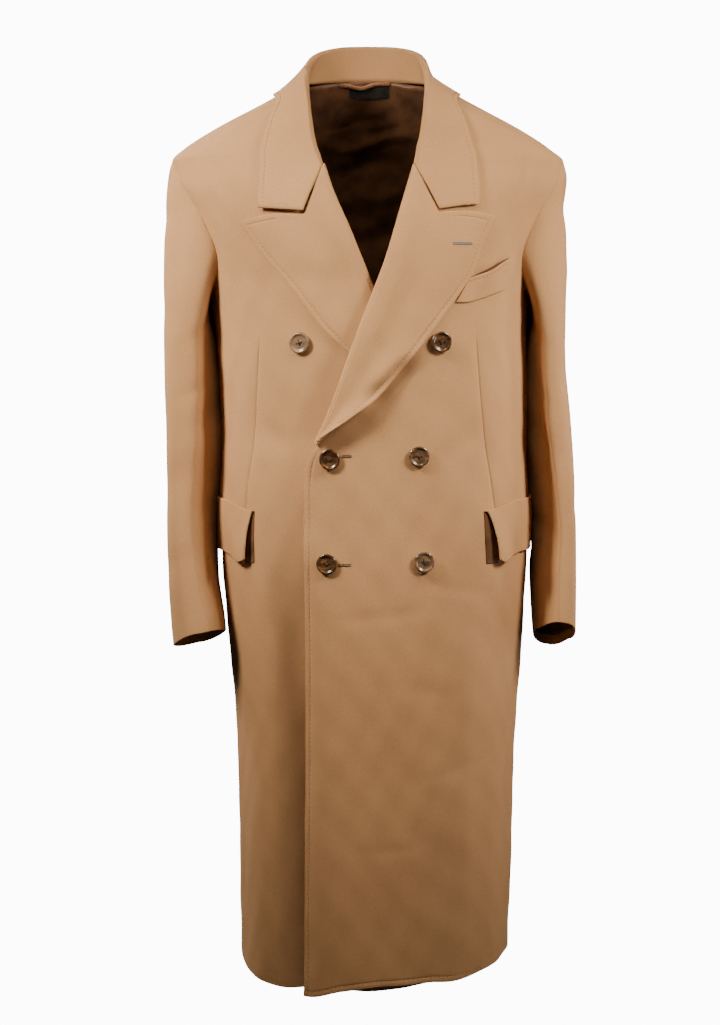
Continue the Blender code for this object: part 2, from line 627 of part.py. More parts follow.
def shoulder_and_neck_line(side):
    """The back's top edge: round the neck from the centre back, then out along the shoulder."""
    line = []
    for c in range(NECK_COLUMNS + 1):
        station = mix(0.0, SHOULDER_SHARE, c / NECK_COLUMNS)
        turn = COLLAR.at(station, "seam_turn")
        height = COLLAR.at(station, "seam_height")
        if c == 0:
            turn -= turn_step(turn, height, SEAM_GAP / 2)
        if c == NECK_COLUMNS:
            turn += turn_step(turn, height, SEAM_GAP / 2)
        line.append((side * turn, height))
    shoulder_steps = BACK_COLUMNS - NECK_COLUMNS - 1
    for c in range(1, shoulder_steps + 1):
        share = c / shoulder_steps
        height = mix(NECK_POINT_HEIGHT, SHOULDER_POINT_HEIGHT, share)
        turn = SHOULDER_TURN + turn_step(SHOULDER_TURN, height, SEAM_GAP / 2)
        line.append((side * turn, height))
    return line


# ---- Lapels -----------------------------------------------------------------------------------
LAPEL_ROWS = 15
LAPEL_COLUMNS = 7
NOTCH_COLUMN = 3           # the column that ends in the notch
FOLD_STEPS = (-90, -45, 0, 45, 90)


def soft_roll(distance):
    """The extra height of a turned-back piece close to its fold."""
    return ROLL_SWELL * math.exp(-((distance - ROLL_SWELL_AT) / ROLL_SWELL_REACH) ** 2)


def lapel_offset(across, down, wide, lift):
    """How far a lapel's visible face lies above the panel: a soft roll, and a lifted lower edge."""
    lifted = lift * soft_step(*LIFT_DOWN, down) * soft_step(*LIFT_ACROSS, across)
    return FOLD_HIGH + soft_roll(across * wide) + lifted


def line_share(points, corner):
    """The share of a line's length at which it reaches one of its corners."""
    lengths = [math.dist(a, b) for a, b in zip(points, points[1:])]
    return sum(lengths[:corner]) / sum(lengths)


def make_lapel(name, side, roll, top, edge, depth):
    """The facing of one front: tucked inside, round the roll line and out over the panel."""
    high, low = roll.keys[-1], roll.keys[0]
    bottom = ((roll.at(low, "x"), low), edge[-1])

    def roll_point(v):
        height = mix(high, low, v)
        return (roll.at(height, "x"), height)

    def patch(u, v):
        t, b = along_line(top, u), along_line(bottom, u)
        left, right = roll_point(v), along_line(edge, v)
        corners = (top[0], top[-1], bottom[0], bottom[-1])
        place = []
        for i in (0, 1):
            ruled = mix(t[i], b[i], v) + mix(left[i], right[i], u)
            flat = mix(mix(corners[0][i], corners[1][i], u), mix(corners[2][i], corners[3][i], u), v)
            place.append(ruled - flat)
        return place

    def surface(x, height, out):
        turn = turn_at(x, height)
        return cloth(turn, height, out - depth(turn, height))

    grid = []
    for r in range(LAPEL_ROWS):
        v = r / (LAPEL_ROWS - 1)
        x0, h0 = roll_point(v)
        wide = math.dist((x0, h0), patch(1.0, v))
        start = min(FOLD_RADIUS / wide, 0.45)
        x1, h1 = patch(start, v)
        across = Vector((x1 - x0, h1 - h0)).normalized()
        ahead, behind = roll_point(min(v + 0.02, 1.0)), roll_point(max(v - 0.02, 0.0))
        run = Vector((ahead[0] - behind[0], ahead[1] - behind[1])).normalized()
        square = Vector((-run.y, run.x)) * side
        inward = across.lerp(square, soft_step(0.0, 0.25, v)).normalized()
        line = [surface(x0 + inward.x * (FOLD_RADIUS + TUCK), h0 + inward.y * (FOLD_RADIUS + TUCK),
                        -FOLD_LOW)]
        for step in FOLD_STEPS:
            angle = math.radians(step)
            along = FOLD_RADIUS * (1 - math.cos(angle))
            out = FOLD_LEVEL + FOLD_RADIUS * math.sin(angle)
            line.append(surface(x0 + inward.x * along, h0 + inward.y * along, out))
        to_notch = spread(start, line_share(top, 1), NOTCH_COLUMN + 1)
        to_edge = spread(line_share(top, 1), 1.0, LAPEL_COLUMNS - NOTCH_COLUMN)
        for u in to_notch[1:] + to_edge[1:]:
            x, height = patch(u, v)
            line.append(surface(x, height, lapel_offset(u, v, wide, LAPEL_LIFT[side])))
        grid.append(line)
    wall_under(name, grid, FACING, flip=side > 0)


def make_lapels():
    make_lapel("lapel_left", 1, ROLL_LEFT, LAPEL_LEFT_TOP, LAPEL_LEFT_EDGE, lambda t, h: 0.0)
    make_lapel("lapel_right", -1, ROLL_RIGHT, LAPEL_RIGHT_TOP, LAPEL_RIGHT_EDGE, under_depth)


# ---- Collar -----------------------------------------------------------------------------------
FALL_TO_NOTCH = 4          # columns of the fall from its crest to the notch
FALL_TO_TIP = 2            # and from there to its edge


def gorge_line(side):
    """The collar's front end as x and height: down the gorge seam to the notch, then to its tip."""
    top = LAPEL_LEFT_TOP if side > 0 else LAPEL_RIGHT_TOP
    start, notch = Vector(top[0]), Vector(top[1])
    down = (notch - start).normalized()
    away = Vector((-down.y, down.x)) * side
    away = away * (SEAM_GAP * 2.5)
    first = start + down * FOLD_RADIUS + away
    return (tuple(first), (notch.x + away.x, notch.y + away.y + NOTCH_GAP), COLLAR_TIPS[side])


def collar_line(side, share):
    """One section of the collar: the tucked seam, the stand, the crest and the fall."""
    turn, height = side * COLLAR.at(share, "seam_turn"), COLLAR.at(share, "seam_height")
    normal = torso_normal(turn, height)
    seam = torso(turn, height)
    centre = TORSO.at(height, "centre")
    crest_x = COLLAR.at(share, "crest_left" if side > 0 else "crest_right")
    crest = Vector((side * crest_x + centre,
                    COLLAR.at(share, "crest_y"), COLLAR.at(share, "crest_z")))
    rise = (crest - seam - normal * FOLD_LEVEL).normalized()
    outward = (normal - rise * normal.dot(rise)).normalized()
    middle = crest - rise * FOLD_RADIUS
    neckward = (rise - normal * rise.dot(normal)).normalized()
    bend = math.acos(clamp(rise.dot(neckward)))
    corner = seam - normal * FOLD_LOW + neckward * (SEAM_GAP * 2 + FACING * math.tan(bend / 2))
    tuck = seam - normal * FOLD_LOW - neckward * COLLAR_TUCK
    inside = middle - outward * FOLD_RADIUS
    line = [tuck, corner, corner.lerp(inside, 0.55), inside]
    for step in (-45, 0, 45):
        angle = math.radians(step)
        line.append(middle + rise * (FOLD_RADIUS * math.cos(angle))
                    + outward * (FOLD_RADIUS * math.sin(angle)))
    outside = middle + outward * FOLD_RADIUS
    edge_turn = side * COLLAR.at(share, "edge_turn")
    edge_height = COLLAR.at(share, "edge_height")
    edge = torso(edge_turn, edge_height) + torso_normal(edge_turn, edge_height) * FOLD_HIGH
    near_gorge = clamp((share - GORGE_BLEND) / (1 - GORGE_BLEND)) ** 2
    gorge = gorge_line(side)
    length = (edge - outside).length
    notch = line_share(gorge, 1)
    steps = spread(0.0, notch, FALL_TO_NOTCH + 1) + spread(notch, 1.0, FALL_TO_TIP + 1)[1:]
    over_shoulder = soft_step(0.15, 0.40, share) * (1 - soft_step(0.97, 1.0, share))
    for s in steps:
        bulge = mix(FALL_SWELL, FALL_HOLLOW[side], over_shoulder) * math.sin(math.pi * s)
        point = outside.lerp(edge, s) + outward * bulge
        near_turn, near_height = mix(turn, edge_turn, s), mix(height, edge_height, s)
        clearance = FOLD_HIGH + COLLAR_AIR * over_shoulder
        if s > 0:
            clearance += soft_roll(length * s) * soft_step(0.80, 1.0, share)
        if near_gorge > 0:
            x, end_height = along_line(gorge, s)
            straight_x = mix(gorge[0][0], gorge[-1][0], s)
            straight_height = mix(gorge[0][1], gorge[-1][1], s)
            point += Vector((x - straight_x, 0, end_height - straight_height)) * near_gorge
        if share == 1:
            turn_end = turn_at(x, end_height)
            line.append(cloth(turn_end, end_height, clearance))
        else:
            line.append(clear_of_torso(point, clearance, near_turn, near_height))
    return line


def make_collar():
    """Sections meet the panels' own points round the neck, so that the seams run side by side."""
    back = spread(0.0, SHOULDER_SHARE, NECK_COLUMNS + 1)
    half = back + spread(SHOULDER_SHARE, 1.0, ARMHOLE_ROWS - GORGE_ROW + 1)[1:]
    grid = [collar_line(-1, share) for share in reversed(half[1:])]
    grid += [collar_line(1, share) for share in half]
    wall_under("collar", grid, FACING, flip=True)


# ---- Sleeves ----------------------------------------------------------------------------------
def sleeve_section(side, angle, height):
    """A point of a sleeve's outer face: angle 0 is its far side, 90 its front, 180 the near side.

    The section is a turned, rounded box; its width is worked out so that it still reaches from the
    near to the far side.
    """
    arm = "left" if side > 0 else "right"
    far, near = SLEEVE.at(height, "far_" + arm), SLEEVE.at(height, "near_" + arm)
    depth = SLEEVE.at(height, "half_depth")
    turned = math.radians(SLEEVE.at(height, "turned_" + arm))
    power = 2 / (2 - SLEEVE_POWER)
    spare = ((far - near) / 2) ** power - abs(depth * math.sin(turned)) ** power
    width = spare ** (1 / power) / math.cos(turned)
    reach_x, reach_y = math.cos(math.radians(angle)), math.sin(math.radians(angle))
    out = width * math.copysign(abs(reach_x) ** SLEEVE_POWER, reach_x)
    ahead = depth * math.copysign(abs(reach_y) ** SLEEVE_POWER, reach_y)
    x = (far + near) / 2 + out * math.cos(turned) - ahead * math.sin(turned)
    y = SLEEVE.at(height, "middle_y") - ahead * math.cos(turned) - out * math.sin(turned)
    return Vector((side * x, y, height))


def cuff_height(side, angle):
    middle, tilt, highest = CUFF[side]
    return middle + tilt * math.cos(math.radians(angle - highest))


def armhole_frame(side, angle):
    """The armhole's point, the body's normal there, and the way across the seam into the sleeve."""
    back = angle > 180
    own = 360 - angle if back else angle
    turn, height = armhole_point(side, own, back)
    before = torso(*armhole_point(side, max(own - 3, 0), back))
    after = torso(*armhole_point(side, min(own + 3, 180), back))
    if own < 3:
        before = torso(*armhole_point(side, 3, not back))
    if own > 177:
        after = torso(*armhole_point(side, 177, not back))
    normal = torso_normal(turn, height)
    run = (after - before).normalized()
    across = normal.cross(run) * (side if not back else -side)
    return torso(turn, height), normal, across.normalized()


def sleeve_base(side, angle, share):
    """A sleeve without folds; share runs 0 to 1 over the cap and 1 to 2 down the arm to the cuff."""
    if share >= 1:
        height = mix(SLEEVE_TOP, cuff_height(side, angle), share - 1)
        return sleeve_section(side, angle, height)
    point, normal, across = armhole_frame(side, angle)
    _, height = armhole_point(side, min(angle, 360 - angle))
    drop = (SHOULDER_POINT_HEIGHT - height) / (SHOULDER_POINT_HEIGHT - UNDERARM_HEIGHT)
    swing = math.radians(mix(CAP_LIFT[side], 90, soft_step(0.0, 0.62, drop)))
    leave = across * math.cos(swing) + normal * math.sin(swing)
    start = point + leave * (SEAM_GAP * 2)
    end = sleeve_section(side, angle, SLEEVE_TOP)
    push, pull = mix(*CAP_LEAVE, drop), mix(*CAP_ARRIVE, drop)
    s = share
    arrive = Vector((0, 0, -1)) * pull
    return (start * ((1 + 2 * s) * (1 - s) ** 2) + leave * (push * s * (1 - s) ** 2)
            + end * (s * s * (3 - 2 * s)) + arrive * (s * s * (s - 1)))


def sleeve_normal(side, angle, share):
    around = sleeve_base(side, (angle + 2) % 360, share) - sleeve_base(side, (angle - 2) % 360, share)
    low, high = max(share - 0.004, 0.0), min(share + 0.004, 2.0)
    down = sleeve_base(side, angle, high) - sleeve_base(side, angle, low)
    return around.cross(down).normalized() * side


def sleeve_relief(side, angle, height):
    total = 0.0
    for arm, middle, level, reach, tall, depth, slope in SLEEVE_FOLDS:
        if arm != side:
            continue
        away = (angle - middle + 180) % 360 - 180
        rise = (height - level - slope * away / 90) / tall
        if abs(rise) < 3:
            total += depth * math.exp(-rise * rise - (away / reach) ** 2)
    return total


def sleeve_grid(side, angles, shares, out):
    grid = []
    for share in shares:
        line = []
        for angle in angles:
            point = sleeve_base(side, angle % 360, share)
            fold = sleeve_relief(side, angle % 360, point.z) * soft_step(0.0, 0.12, share)
            line.append(point + sleeve_normal(side, angle % 360, share) * (fold + out))
        grid.append(line)
    return grid


def make_sleeves():
    seam_turn = math.degrees(SEAM_GAP / 2 / SLEEVE_RADIUS)
    step = 180 / ARMHOLE_ROWS
    cap = [i / SLEEVE_CAP_ROWS for i in range(SLEEVE_CAP_ROWS)]
    arm_rows = spread(1.0, 2.0, SLEEVE_ARM_ROWS)
    shares = cap + arm_rows
    half_gap = SEAM_GAP / 2 / (SLEEVE_TOP - CUFF[1][0])
    split = arm_rows[SPLIT_ROW]
    upper = cap + arm_rows[:SPLIT_ROW] + [split - half_gap]
    lower = [split + half_gap] + arm_rows[SPLIT_ROW + 1:]
    top_angles = [step * i for i in range(-SLEEVE_SEAM_STEPS, SLEEVE_SEAM_STEPS + 1)]
    under_last = 2 * ARMHOLE_ROWS - SLEEVE_SEAM_STEPS
    under_angles = [step * i for i in range(SLEEVE_SEAM_STEPS, under_last + 1)]
    for angles in (top_angles, under_angles):
        angles[0] += seam_turn
        angles[-1] -= seam_turn
    panels = (
        ("top_sleeve_left", 1, top_angles, upper),
        ("top_sleeve_left_lower", 1, top_angles, lower),
        ("top_sleeve_right", -1, top_angles, shares),
        ("under_sleeve_left", 1, under_angles, shares),
        ("under_sleeve_right", -1, under_angles, shares),
    )
    for name, side, angles, rows in panels:
        outer = sleeve_grid(side, angles, rows, 0.0)
        inner = sleeve_grid(side, angles, rows, -CLOTH)
        wall_between(name, outer, inner)
    for arm, side in (("left", 1), ("right", -1)):
        make_sleeve_lining("sleeve_lining_" + arm, side)


def make_sleeve_lining(name, side):
    """A closed ring of lining inside the cuff."""
    sides, rows = 20, 4
    length = SLEEVE_TOP - CUFF[side][0]
    shares = spread(2 - LINING_INSET / length, 2 - LINING_TOP / length, rows)
    angles = [360 * i / sides for i in range(sides)]
    outer = sleeve_grid(side, angles, shares, -CLOTH - CUFF_LINING_AIR)
    inner = sleeve_grid(side, angles, shares, -CLOTH - CUFF_LINING_AIR - LINING)
    vertices = [point for grid in (outer, inner) for row in grid for point in row]
    layer = sides * rows
    faces = []
    for i in range(sides):
        j = (i + 1) % sides
        for r in range(rows - 1):
            a, b = r * sides, (r + 1) * sides
            faces.append((a + i, a + j, b + j, b + i))
            faces.append((layer + a + i, layer + b + i, layer + b + j, layer + a + j))
        for r in (0, rows - 1):
            faces.append((r * sides + i, layer + r * sides + i, layer + r * sides + j,
                          r * sides + j))
    add_object(name, vertices, faces, SATIN, 0.35)


# ---- Lining, loop and label at the neck -------------------------------------------------------
LINING_AIR = 0.0020
LINING_FIRST_ROW = 12      # the fronts hide the lining below this row of the back
LINING_FACE = FOLD_LOW + 0.0008     # its depth in front of the collar's tuck
LINING_STEPS = (0.60, 0.95)         # its last rows, as shares of the way up to the neck line


def make_back_lining():
    """The lining inside the back, laid out on the back panels' own rows."""
    halves = [back_grid(-1), back_grid(1)]
    grid = []
    for r in range(LINING_FIRST_ROW, len(halves[0])):
        grid.append(list(reversed(halves[0][r][:-1])) + halves[1][r][1:-1])
    middle = BACK_COLUMNS - 2

    def face(thickness):
        points = [[cloth(t, h, -CLOTH - LINING_AIR - thickness) for t, h in line] for line in grid]
        low, top = points[-2], points.pop()
        for share in LINING_STEPS:
            line = []
            for c in range(len(top)):
                at_neck = 1 - soft_step(NECK_COLUMNS - 1, NECK_COLUMNS + 2, abs(c - middle))
                turn, height = grid[-1][c]
                sink = torso_normal(turn, height) * ((CLOTH + LINING_AIR - LINING_FACE) * at_neck)
                line.append(low[c].lerp(top[c], share) + sink)
            points.append(line)
        return points

    outer, inner = face(0.0), face(LINING)
    wall_between("back_lining", outer, inner, SATIN, 0.35)


def back_patch(name, box, out, wall, columns, rows, colour, arch=0.0):
    """A small sheet that follows the inside of the back, arched away from it in the middle."""
    x_low, x_high, z_low, z_high = box
    outer, inner = [], []
    for r in range(rows):
        outer_row, inner_row = [], []
        for c in range(columns):
            share = c / (columns - 1)
            x, height = mix(x_low, x_high, share), mix(z_high, z_low, r / (rows - 1))
            turn = 180 - turn_at(x, height)
            bulge = arch * math.sin(math.pi * share)
            turn = turn if turn <= 180 else turn - 360
            outer_row.append(cloth(turn, height, -out - bulge))
            inner_row.append(cloth(turn, height, -out - bulge - wall))
        outer.append(outer_row)
        inner.append(inner_row)
    wall_between(name, outer, inner, colour, 0.4)


def make_neck_trim():
    face = LINING_FACE + LINING + NECK_TRIM_AIR
    back_patch("neck_label", LABEL_BOX, face, LABEL_WALL, 6, 2, LABEL_BLACK)
    back_patch("hanger_loop", LOOP_BOX, face, LOOP_WALL, 9, 2, LOOP_SATIN, arch=LOOP_ARCH)


# ---- Pockets ----------------------------------------------------------------------------------
def make_hip_flaps():
    columns, rows = 10, 5
    for name, side, turn_0, height_0, swing in HIP_FLAPS:
        outer, inner = [], []
        for r in range(rows):
            down = r / (rows - 1)
            outer_row, inner_row = [], []
            for c in range(columns):
                share = c / (columns - 1)
                turn = turn_0 + side * (HIP_FLAP_TURNS * share + swing * down * (1 - share))
                near_end = max(0.0, 1 - share * (columns - 1), 1 - (1 - share) * (columns - 1)) ** 2
                height = height_0 + FLAP_RISE * soft_step(0, 0.45, share)
                height -= (HIP_FLAP_HEIGHT - FLAP_ROUNDING * near_end) * down
                stand = FLAP_STAND + FLAP_FRONT_STAND * (1 - soft_step(0.0, 0.30, share))
                out = FLAP_AIR + stand * math.sin(down * math.pi / 2)
                inset = under_depth(turn, height) if side < 0 else 0.0
                outer_row.append(cloth(turn, height, out + FLAP_WALL - inset))
                inner_row.append(cloth(turn, height, out - inset))
            outer.append(outer_row)
            inner.append(inner_row)
        wall_between(name, outer, inner)


def make_chest_welt():
    columns, rows = 7, 4
    outer, inner = [], []
    for r in range(rows):
        up = r / (rows - 1)
        outer_row, inner_row = [], []
        for c in range(columns):
            share = c / (columns - 1)
            low, high = along_line(WELT_LOWER, share), along_line(WELT_UPPER, share)
            x, height = mix(low[0], high[0], up), mix(low[1], high[1], up)
            gape = WELT_GAPE * up * math.sin(math.pi * clamp(share * 0.9 + 0.05))
            turn = turn_at(x, height)
            outer_row.append(cloth(turn, height, WELT_AIR + gape + WELT_WALL))
            inner_row.append(cloth(turn, height, WELT_AIR + gape))
        outer.append(outer_row)
        inner.append(inner_row)
    wall_between("chest_welt", outer, inner)


# ---- Buttons ----------------------------------------------------------------------------------
# A half section of a button, as shares of its radius and thickness: rim, hollow face, flat back.
BUTTON_SECTION = ((0.62, 0.62), (0.74, 0.80), (0.86, 1.00), (0.97, 0.90), (1.00, 0.55),
                  (0.92, 0.15), (0.70, 0.00))


def make_buttons():
    for name, x, height in BUTTONS:
        turn = turn_at(x, height)
        depth = under_depth(turn, height) if name == "button_top_right" else 0.0
        normal = torso_normal(turn, height)
        seat = cloth(turn, height, BUTTON_SHANK - depth)
        right = Vector((0, 0, 1)).cross(normal).normalized()
        up = normal.cross(right)
        vertices, faces = [], []
        for radius, level in BUTTON_SECTION:
            for i in range(BUTTON_SIDES):
                angle = 2 * math.pi * i / BUTTON_SIDES
                spoke = (right * math.cos(angle) + up * math.sin(angle)) * (BUTTON_RADIUS * radius)
                vertices.append(seat + spoke + normal * (BUTTON_THICKNESS * level))
        for ring in range(len(BUTTON_SECTION) - 1):
            for i in range(BUTTON_SIDES):
                j = (i + 1) % BUTTON_SIDES
                a, b = ring * BUTTON_SIDES, (ring + 1) * BUTTON_SIDES
                faces.append((a + i, a + j, b + j, b + i))
        last = (len(BUTTON_SECTION) - 1) * BUTTON_SIDES
        faces.append(tuple(range(BUTTON_SIDES)))
        faces.append(tuple(last + i for i in range(BUTTON_SIDES - 1, -1, -1)))
        add_object(name, vertices, faces, HORN, 0.3)


def main():
    for old in list(bpy.context.scene.objects):
        bpy.data.objects.remove(old, do_unlink=True)
    make_fronts()
    make_backs()
    make_lapels()
    make_collar()
    make_sleeves()
    make_back_lining()
    make_neck_trim()
    make_hip_flaps()
    make_chest_welt()
    make_buttons()


main()
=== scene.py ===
"""The looks of a double-breasted wool overcoat, built as fine cloth shells on its solids' form.

Metres, +Z up, -Y is the coat's front and +X the wearer's left. Like the solids, the body panels are
laid out on one surface, torso(turn, height): turn runs in degrees round the body, 0 at the centre
front, +90 at the wearer's left side and 180 at the centre back. Every shell is a closed wall with
rounded edges; grids are numpy arrays of points, rows by columns. side is 1 for the wearer's left
and -1 for the right.
"""

import math

import bpy
import numpy as np
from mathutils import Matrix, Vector, geometry


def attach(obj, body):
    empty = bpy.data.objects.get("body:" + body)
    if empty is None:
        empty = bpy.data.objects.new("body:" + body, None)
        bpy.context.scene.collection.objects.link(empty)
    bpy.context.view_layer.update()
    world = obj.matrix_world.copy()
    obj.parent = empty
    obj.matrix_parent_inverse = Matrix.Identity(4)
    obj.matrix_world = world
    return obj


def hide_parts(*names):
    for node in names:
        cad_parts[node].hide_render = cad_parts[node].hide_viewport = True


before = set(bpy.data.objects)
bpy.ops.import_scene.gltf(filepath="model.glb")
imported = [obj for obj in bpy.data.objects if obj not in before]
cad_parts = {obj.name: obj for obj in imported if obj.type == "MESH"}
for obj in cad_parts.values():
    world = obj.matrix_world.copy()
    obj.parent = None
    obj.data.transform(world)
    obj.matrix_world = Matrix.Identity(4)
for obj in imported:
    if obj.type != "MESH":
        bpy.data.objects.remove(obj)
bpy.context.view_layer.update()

# ---- Measures that the solids have too
SEAM_GAP = 0.0003
CLOTH = 0.0022
FACING = 0.0026
LINING = 0.0010
LIE = 0.0012               # air under a facing where it lies on a panel,
TUCK_GAP = 0.0016          # and where it is tucked in behind
TUCK = 0.007
FLAP_WALL = 0.0028
FOLD_LOW = CLOTH + TUCK_GAP + FACING
FOLD_HIGH = LIE + FACING
FOLD_RADIUS = (FOLD_LOW + FOLD_HIGH) / 2
FOLD_LEVEL = (FOLD_HIGH - FOLD_LOW) / 2
SIDE_SEAM_TURN = 96.0
SHOULDER_TURN = 90.0
UNDERARM_HEIGHT = -0.285
SHOULDER_POINT_HEIGHT = -0.0967
NECK_POINT_HEIGHT = 0.0126
BACK_NECK_HEIGHT = 0.0235
HIP_FLAP_HEIGHT = 0.071
HIP_FLAP_TURNS = 49.0
BUTTON_RADIUS = 0.0138
BUTTON_THICKNESS = 0.0042
BUTTON_SHANK = 0.0012
# The solids' rows and columns, which the finer grids here run between.
SKIRT_ROWS = 13
ARMHOLE_ROWS = 10
GORGE_ROW = 5
BREAK_ROWS = 4
BREAK_DROP = 0.004
BREAK_LENGTH = 0.013
FRONT_TOP = -0.300
BACK_TOP = -0.285
BACK_RISE = 0.94
BACK_COLUMNS = 11
NECK_COLUMNS = 6
SHOULDER_SHARE = 0.53

# ---- What the scene adds
PANEL_GAP = -0.0005        # sewn panels run a little past each other, so that no light shows
SLEEVE_LAP = 0.0010        # how far a sleeve runs over its armhole's edge,
SLEEVE_GAP = -0.0012       # and into the armhole
HEM_TURN_UP = 0.045        # wool seen inside the hem,
FRONT_FACING = 0.105       # and inside the front edges; further in the coat is lined
CELL = 0.0050              # the body's and sleeves' mesh
FINE_CELL = 0.0026         # the lapels' and collar's mesh
POCKET_CELL = 0.0022
WELT_CELL = 0.0018
STITCH_INSET = 0.0080      # pick stitching runs this far inside a finished edge
STITCH_PITCH = 0.0062
STITCH_LENGTH = 0.0024
STITCH_RADIUS = 0.00055
STITCH_LIFT = 0.00005
STITCH_SEED = 7
ROUND = (0.0, 0.00012, 0.00045, 0.0009, 0.0015, 0.0028)            # columns that round off a border
SEWN = (0.0, 0.00015, 0.0005, 0.0011, 0.0019, 0.0032)
STITCHED = ROUND + (0.0052, 0.0068, 0.0074, 0.0080, 0.0086, 0.0092, 0.0112)
# Radii of each kind of sheet's borders: at the rows' start and end, of the first and last row.
FRONT_RADII = (0.0011, 0.0016, 0.0011, 0.0016)
BACK_RADII = (0.0016, 0.0016, 0.0011, 0.0016)
LAPEL_RADII = (0.0, 0.0013, 0.0013, 0.0011)
COLLAR_RADII = (0.0, 0.0013, 0.0013, 0.0013)
SLEEVE_RADII = (0.0007, 0.0007, 0.0014, 0.0011)
FLAP_RADII = (0.0014, 0.0014, 0.0016, 0.0014)
WELT_RADII = (0.0010, 0.0010, 0.0014, 0.0010)
SHARP = (0.0, 0.0, 0.0, 0.0)
GROOVE_DEPTH = 0.00045
GROOVE_WIDTH = 0.0011
EDGE_FULLNESS = 0.00020
DART_STEPS = (0.0006, 0.0014, 0.0030)
DART_DEPTH = 0.0011
DART_WIDTH = 0.0009
DART_HOLLOW = (0.0007, 0.006)       # depth and half width of the softer dent round a dart
ROLL_FULLNESS = (0.0022, 0.022, 0.018)     # of a facing past its fold: height, place, half width
SIDES = {1: "left", -1: "right"}


def mix(a, b, share):
    return a + (b - a) * share


def soft_step(low, high, value):
    s = np.clip((value - low) / (high - low), 0.0, 1.0)
    return s * s * (3 - 2 * s)


def bell(value):
    return np.exp(-value * value)


def unit(vectors):
    return vectors / np.maximum(np.linalg.norm(vectors, axis=-1, keepdims=True), 1e-12)


def hermite(start, end, leave, arrive, s):
    """A cubic from start to end with set rates of change at both, for s from 0 to 1."""
    return (start * ((1 + 2 * s) * (1 - s) ** 2) + leave * (s * (1 - s) ** 2)
            + end * (s * s * (3 - 2 * s)) + arrive * (s * s * (s - 1)))


def rows_of(text, width):
    """A table of numbers, whose rows are parted by line ends or bars."""
    return np.array(text.replace("|", " ").split(), float).reshape(-1, width)


class Table:
    """Named columns, read at any key between the rows on a smooth curve that never overshoots."""

    def __init__(self, names, text):
        self.names = names.split()
        data = rows_of(text, len(self.names))
        self.values = data[np.argsort(data[:, 0])].T
        self.keys = self.values[0]
        steps = np.diff(self.values) / np.diff(self.keys)
        before, after = steps[:, :-1], steps[:, 1:]
        product, total = before * after, before + after
        inner = np.where(product > 0, 2 * product / np.where(product > 0, total, 1.0), 0.0)
        self.slopes = np.concatenate((steps[:, :1], inner, steps[:, -1:]), axis=1)

    def at(self, key, names):
        key = np.clip(key, self.keys[0], self.keys[-1])
        i = np.clip(np.searchsorted(self.keys, key) - 1, 0, len(self.keys) - 2)
        span = self.keys[i + 1] - self.keys[i]
        s = (key - self.keys[i]) / span
        found = []
        for name in names.split():
            values, slopes = (rows[self.names.index(name)] for rows in (self.values, self.slopes))
            found.append(
                hermite(values[i], values[i + 1], slopes[i] * span, slopes[i + 1] * span, s))
        return found[0] if len(found) == 1 else found


TORSO = Table("height centre half_width front back power", """
    .032 -.0035 .062 .02 .066 1 | .0235 -.004 .076 .022 .07 1 | .0126 -.0045 .09 .034 .074 1
    -.0106 -.0045 .1272 .054 .083 1 | -.0536 -.0045 .2091 .083 .101 1
    -.0805 -.0045 .2495 .0925 .111 1 | -.0967 -.003 .2665 .0985 .117 1
    -.125 -.002 .266 .112 .126 .96 | -.17 -.0015 .248 .129 .14 .92 | -.23 -.001 .225 .144 .155 .88
    -.29 0 .214 .151 .162 .85 | -.34 .002 .2095 .155 .161 .85 | -.46 .0055 .2085 .156 .156 .85
    -.57 .006 .213 .159 .163 .85 | -.6375 .006 .2105 .163 .168 .87
    -.7567 .008 .2031 .168 .172 .9 | -.8966 .0085 .1934 .174 .176 .94
    -1.0535 .008 .1906 .18 .18 .98 | -1.205 .0065 .1875 .186 .185 1""")
HEM = Table("turn over under", """
    -180 -1.19 -1.19 | -96 -1.187 -1.187 | -78 -1.202 -1.202 | -60 -1.2095 -1.2095
    -46 -1.212 -1.212 | -30 -1.213 -1.208 | -14 -1.199 -1.204 | 4 -1.1905 -1.2 | 22 -1.19 -1.196
    34 -1.193 -1.193 | 60 -1.186 -1.186 | 96 -1.187 -1.187 | 180 -1.19 -1.19""")
# The armhole from the shoulder point, 0 degrees, to the underarm, 180.
ARMHOLE = Table("angle height front back", """
    0 -.0967 90 90 | 14 -.102 83 98 | 32 -.114 76.5 105 | 55 -.14 70.3 111.5 | 80 -.178 66 115.5
    102 -.212 64.8 117 | 125 -.245 67.5 115.5 | 145 -.268 74 111 | 163 -.2805 84 105
    180 -.285 96 96""")
# Broad folds of the body: turn, top, bottom, width in degrees, depth, and drift in degrees.
FOLDS = rows_of("""
    -34 -.6 -1.32 8 -.007 2 | -52 -.66 -1.32 8.5 .0035 -3 | -72 -.72 -1.32 8 -.003 -2
    54 -.8 -1.32 8 .0035 3 | 24 -.92 -1.32 10 -.0035 -3 | 72 -.7 -1.32 8 -.003 2
    61 -.2 -.4 7 -.003 -3 | -61 -.2 -.38 7 -.0028 3 | 118 -.62 -1.32 10 -.004 3
    143 -.56 -1.32 11 .004 1 | 166 -.66 -1.32 9 -.004 -2 | -119 -.66 -1.32 10 -.0036 -4
    -146 -.6 -1.32 10 .0042 -2 | -168 -.72 -1.32 8 -.0034 2 | 148 -.12 -.36 9 .003 -5
    -147 -.13 -.35 9 .003 5""", 6)
FOLD_END = 0.16
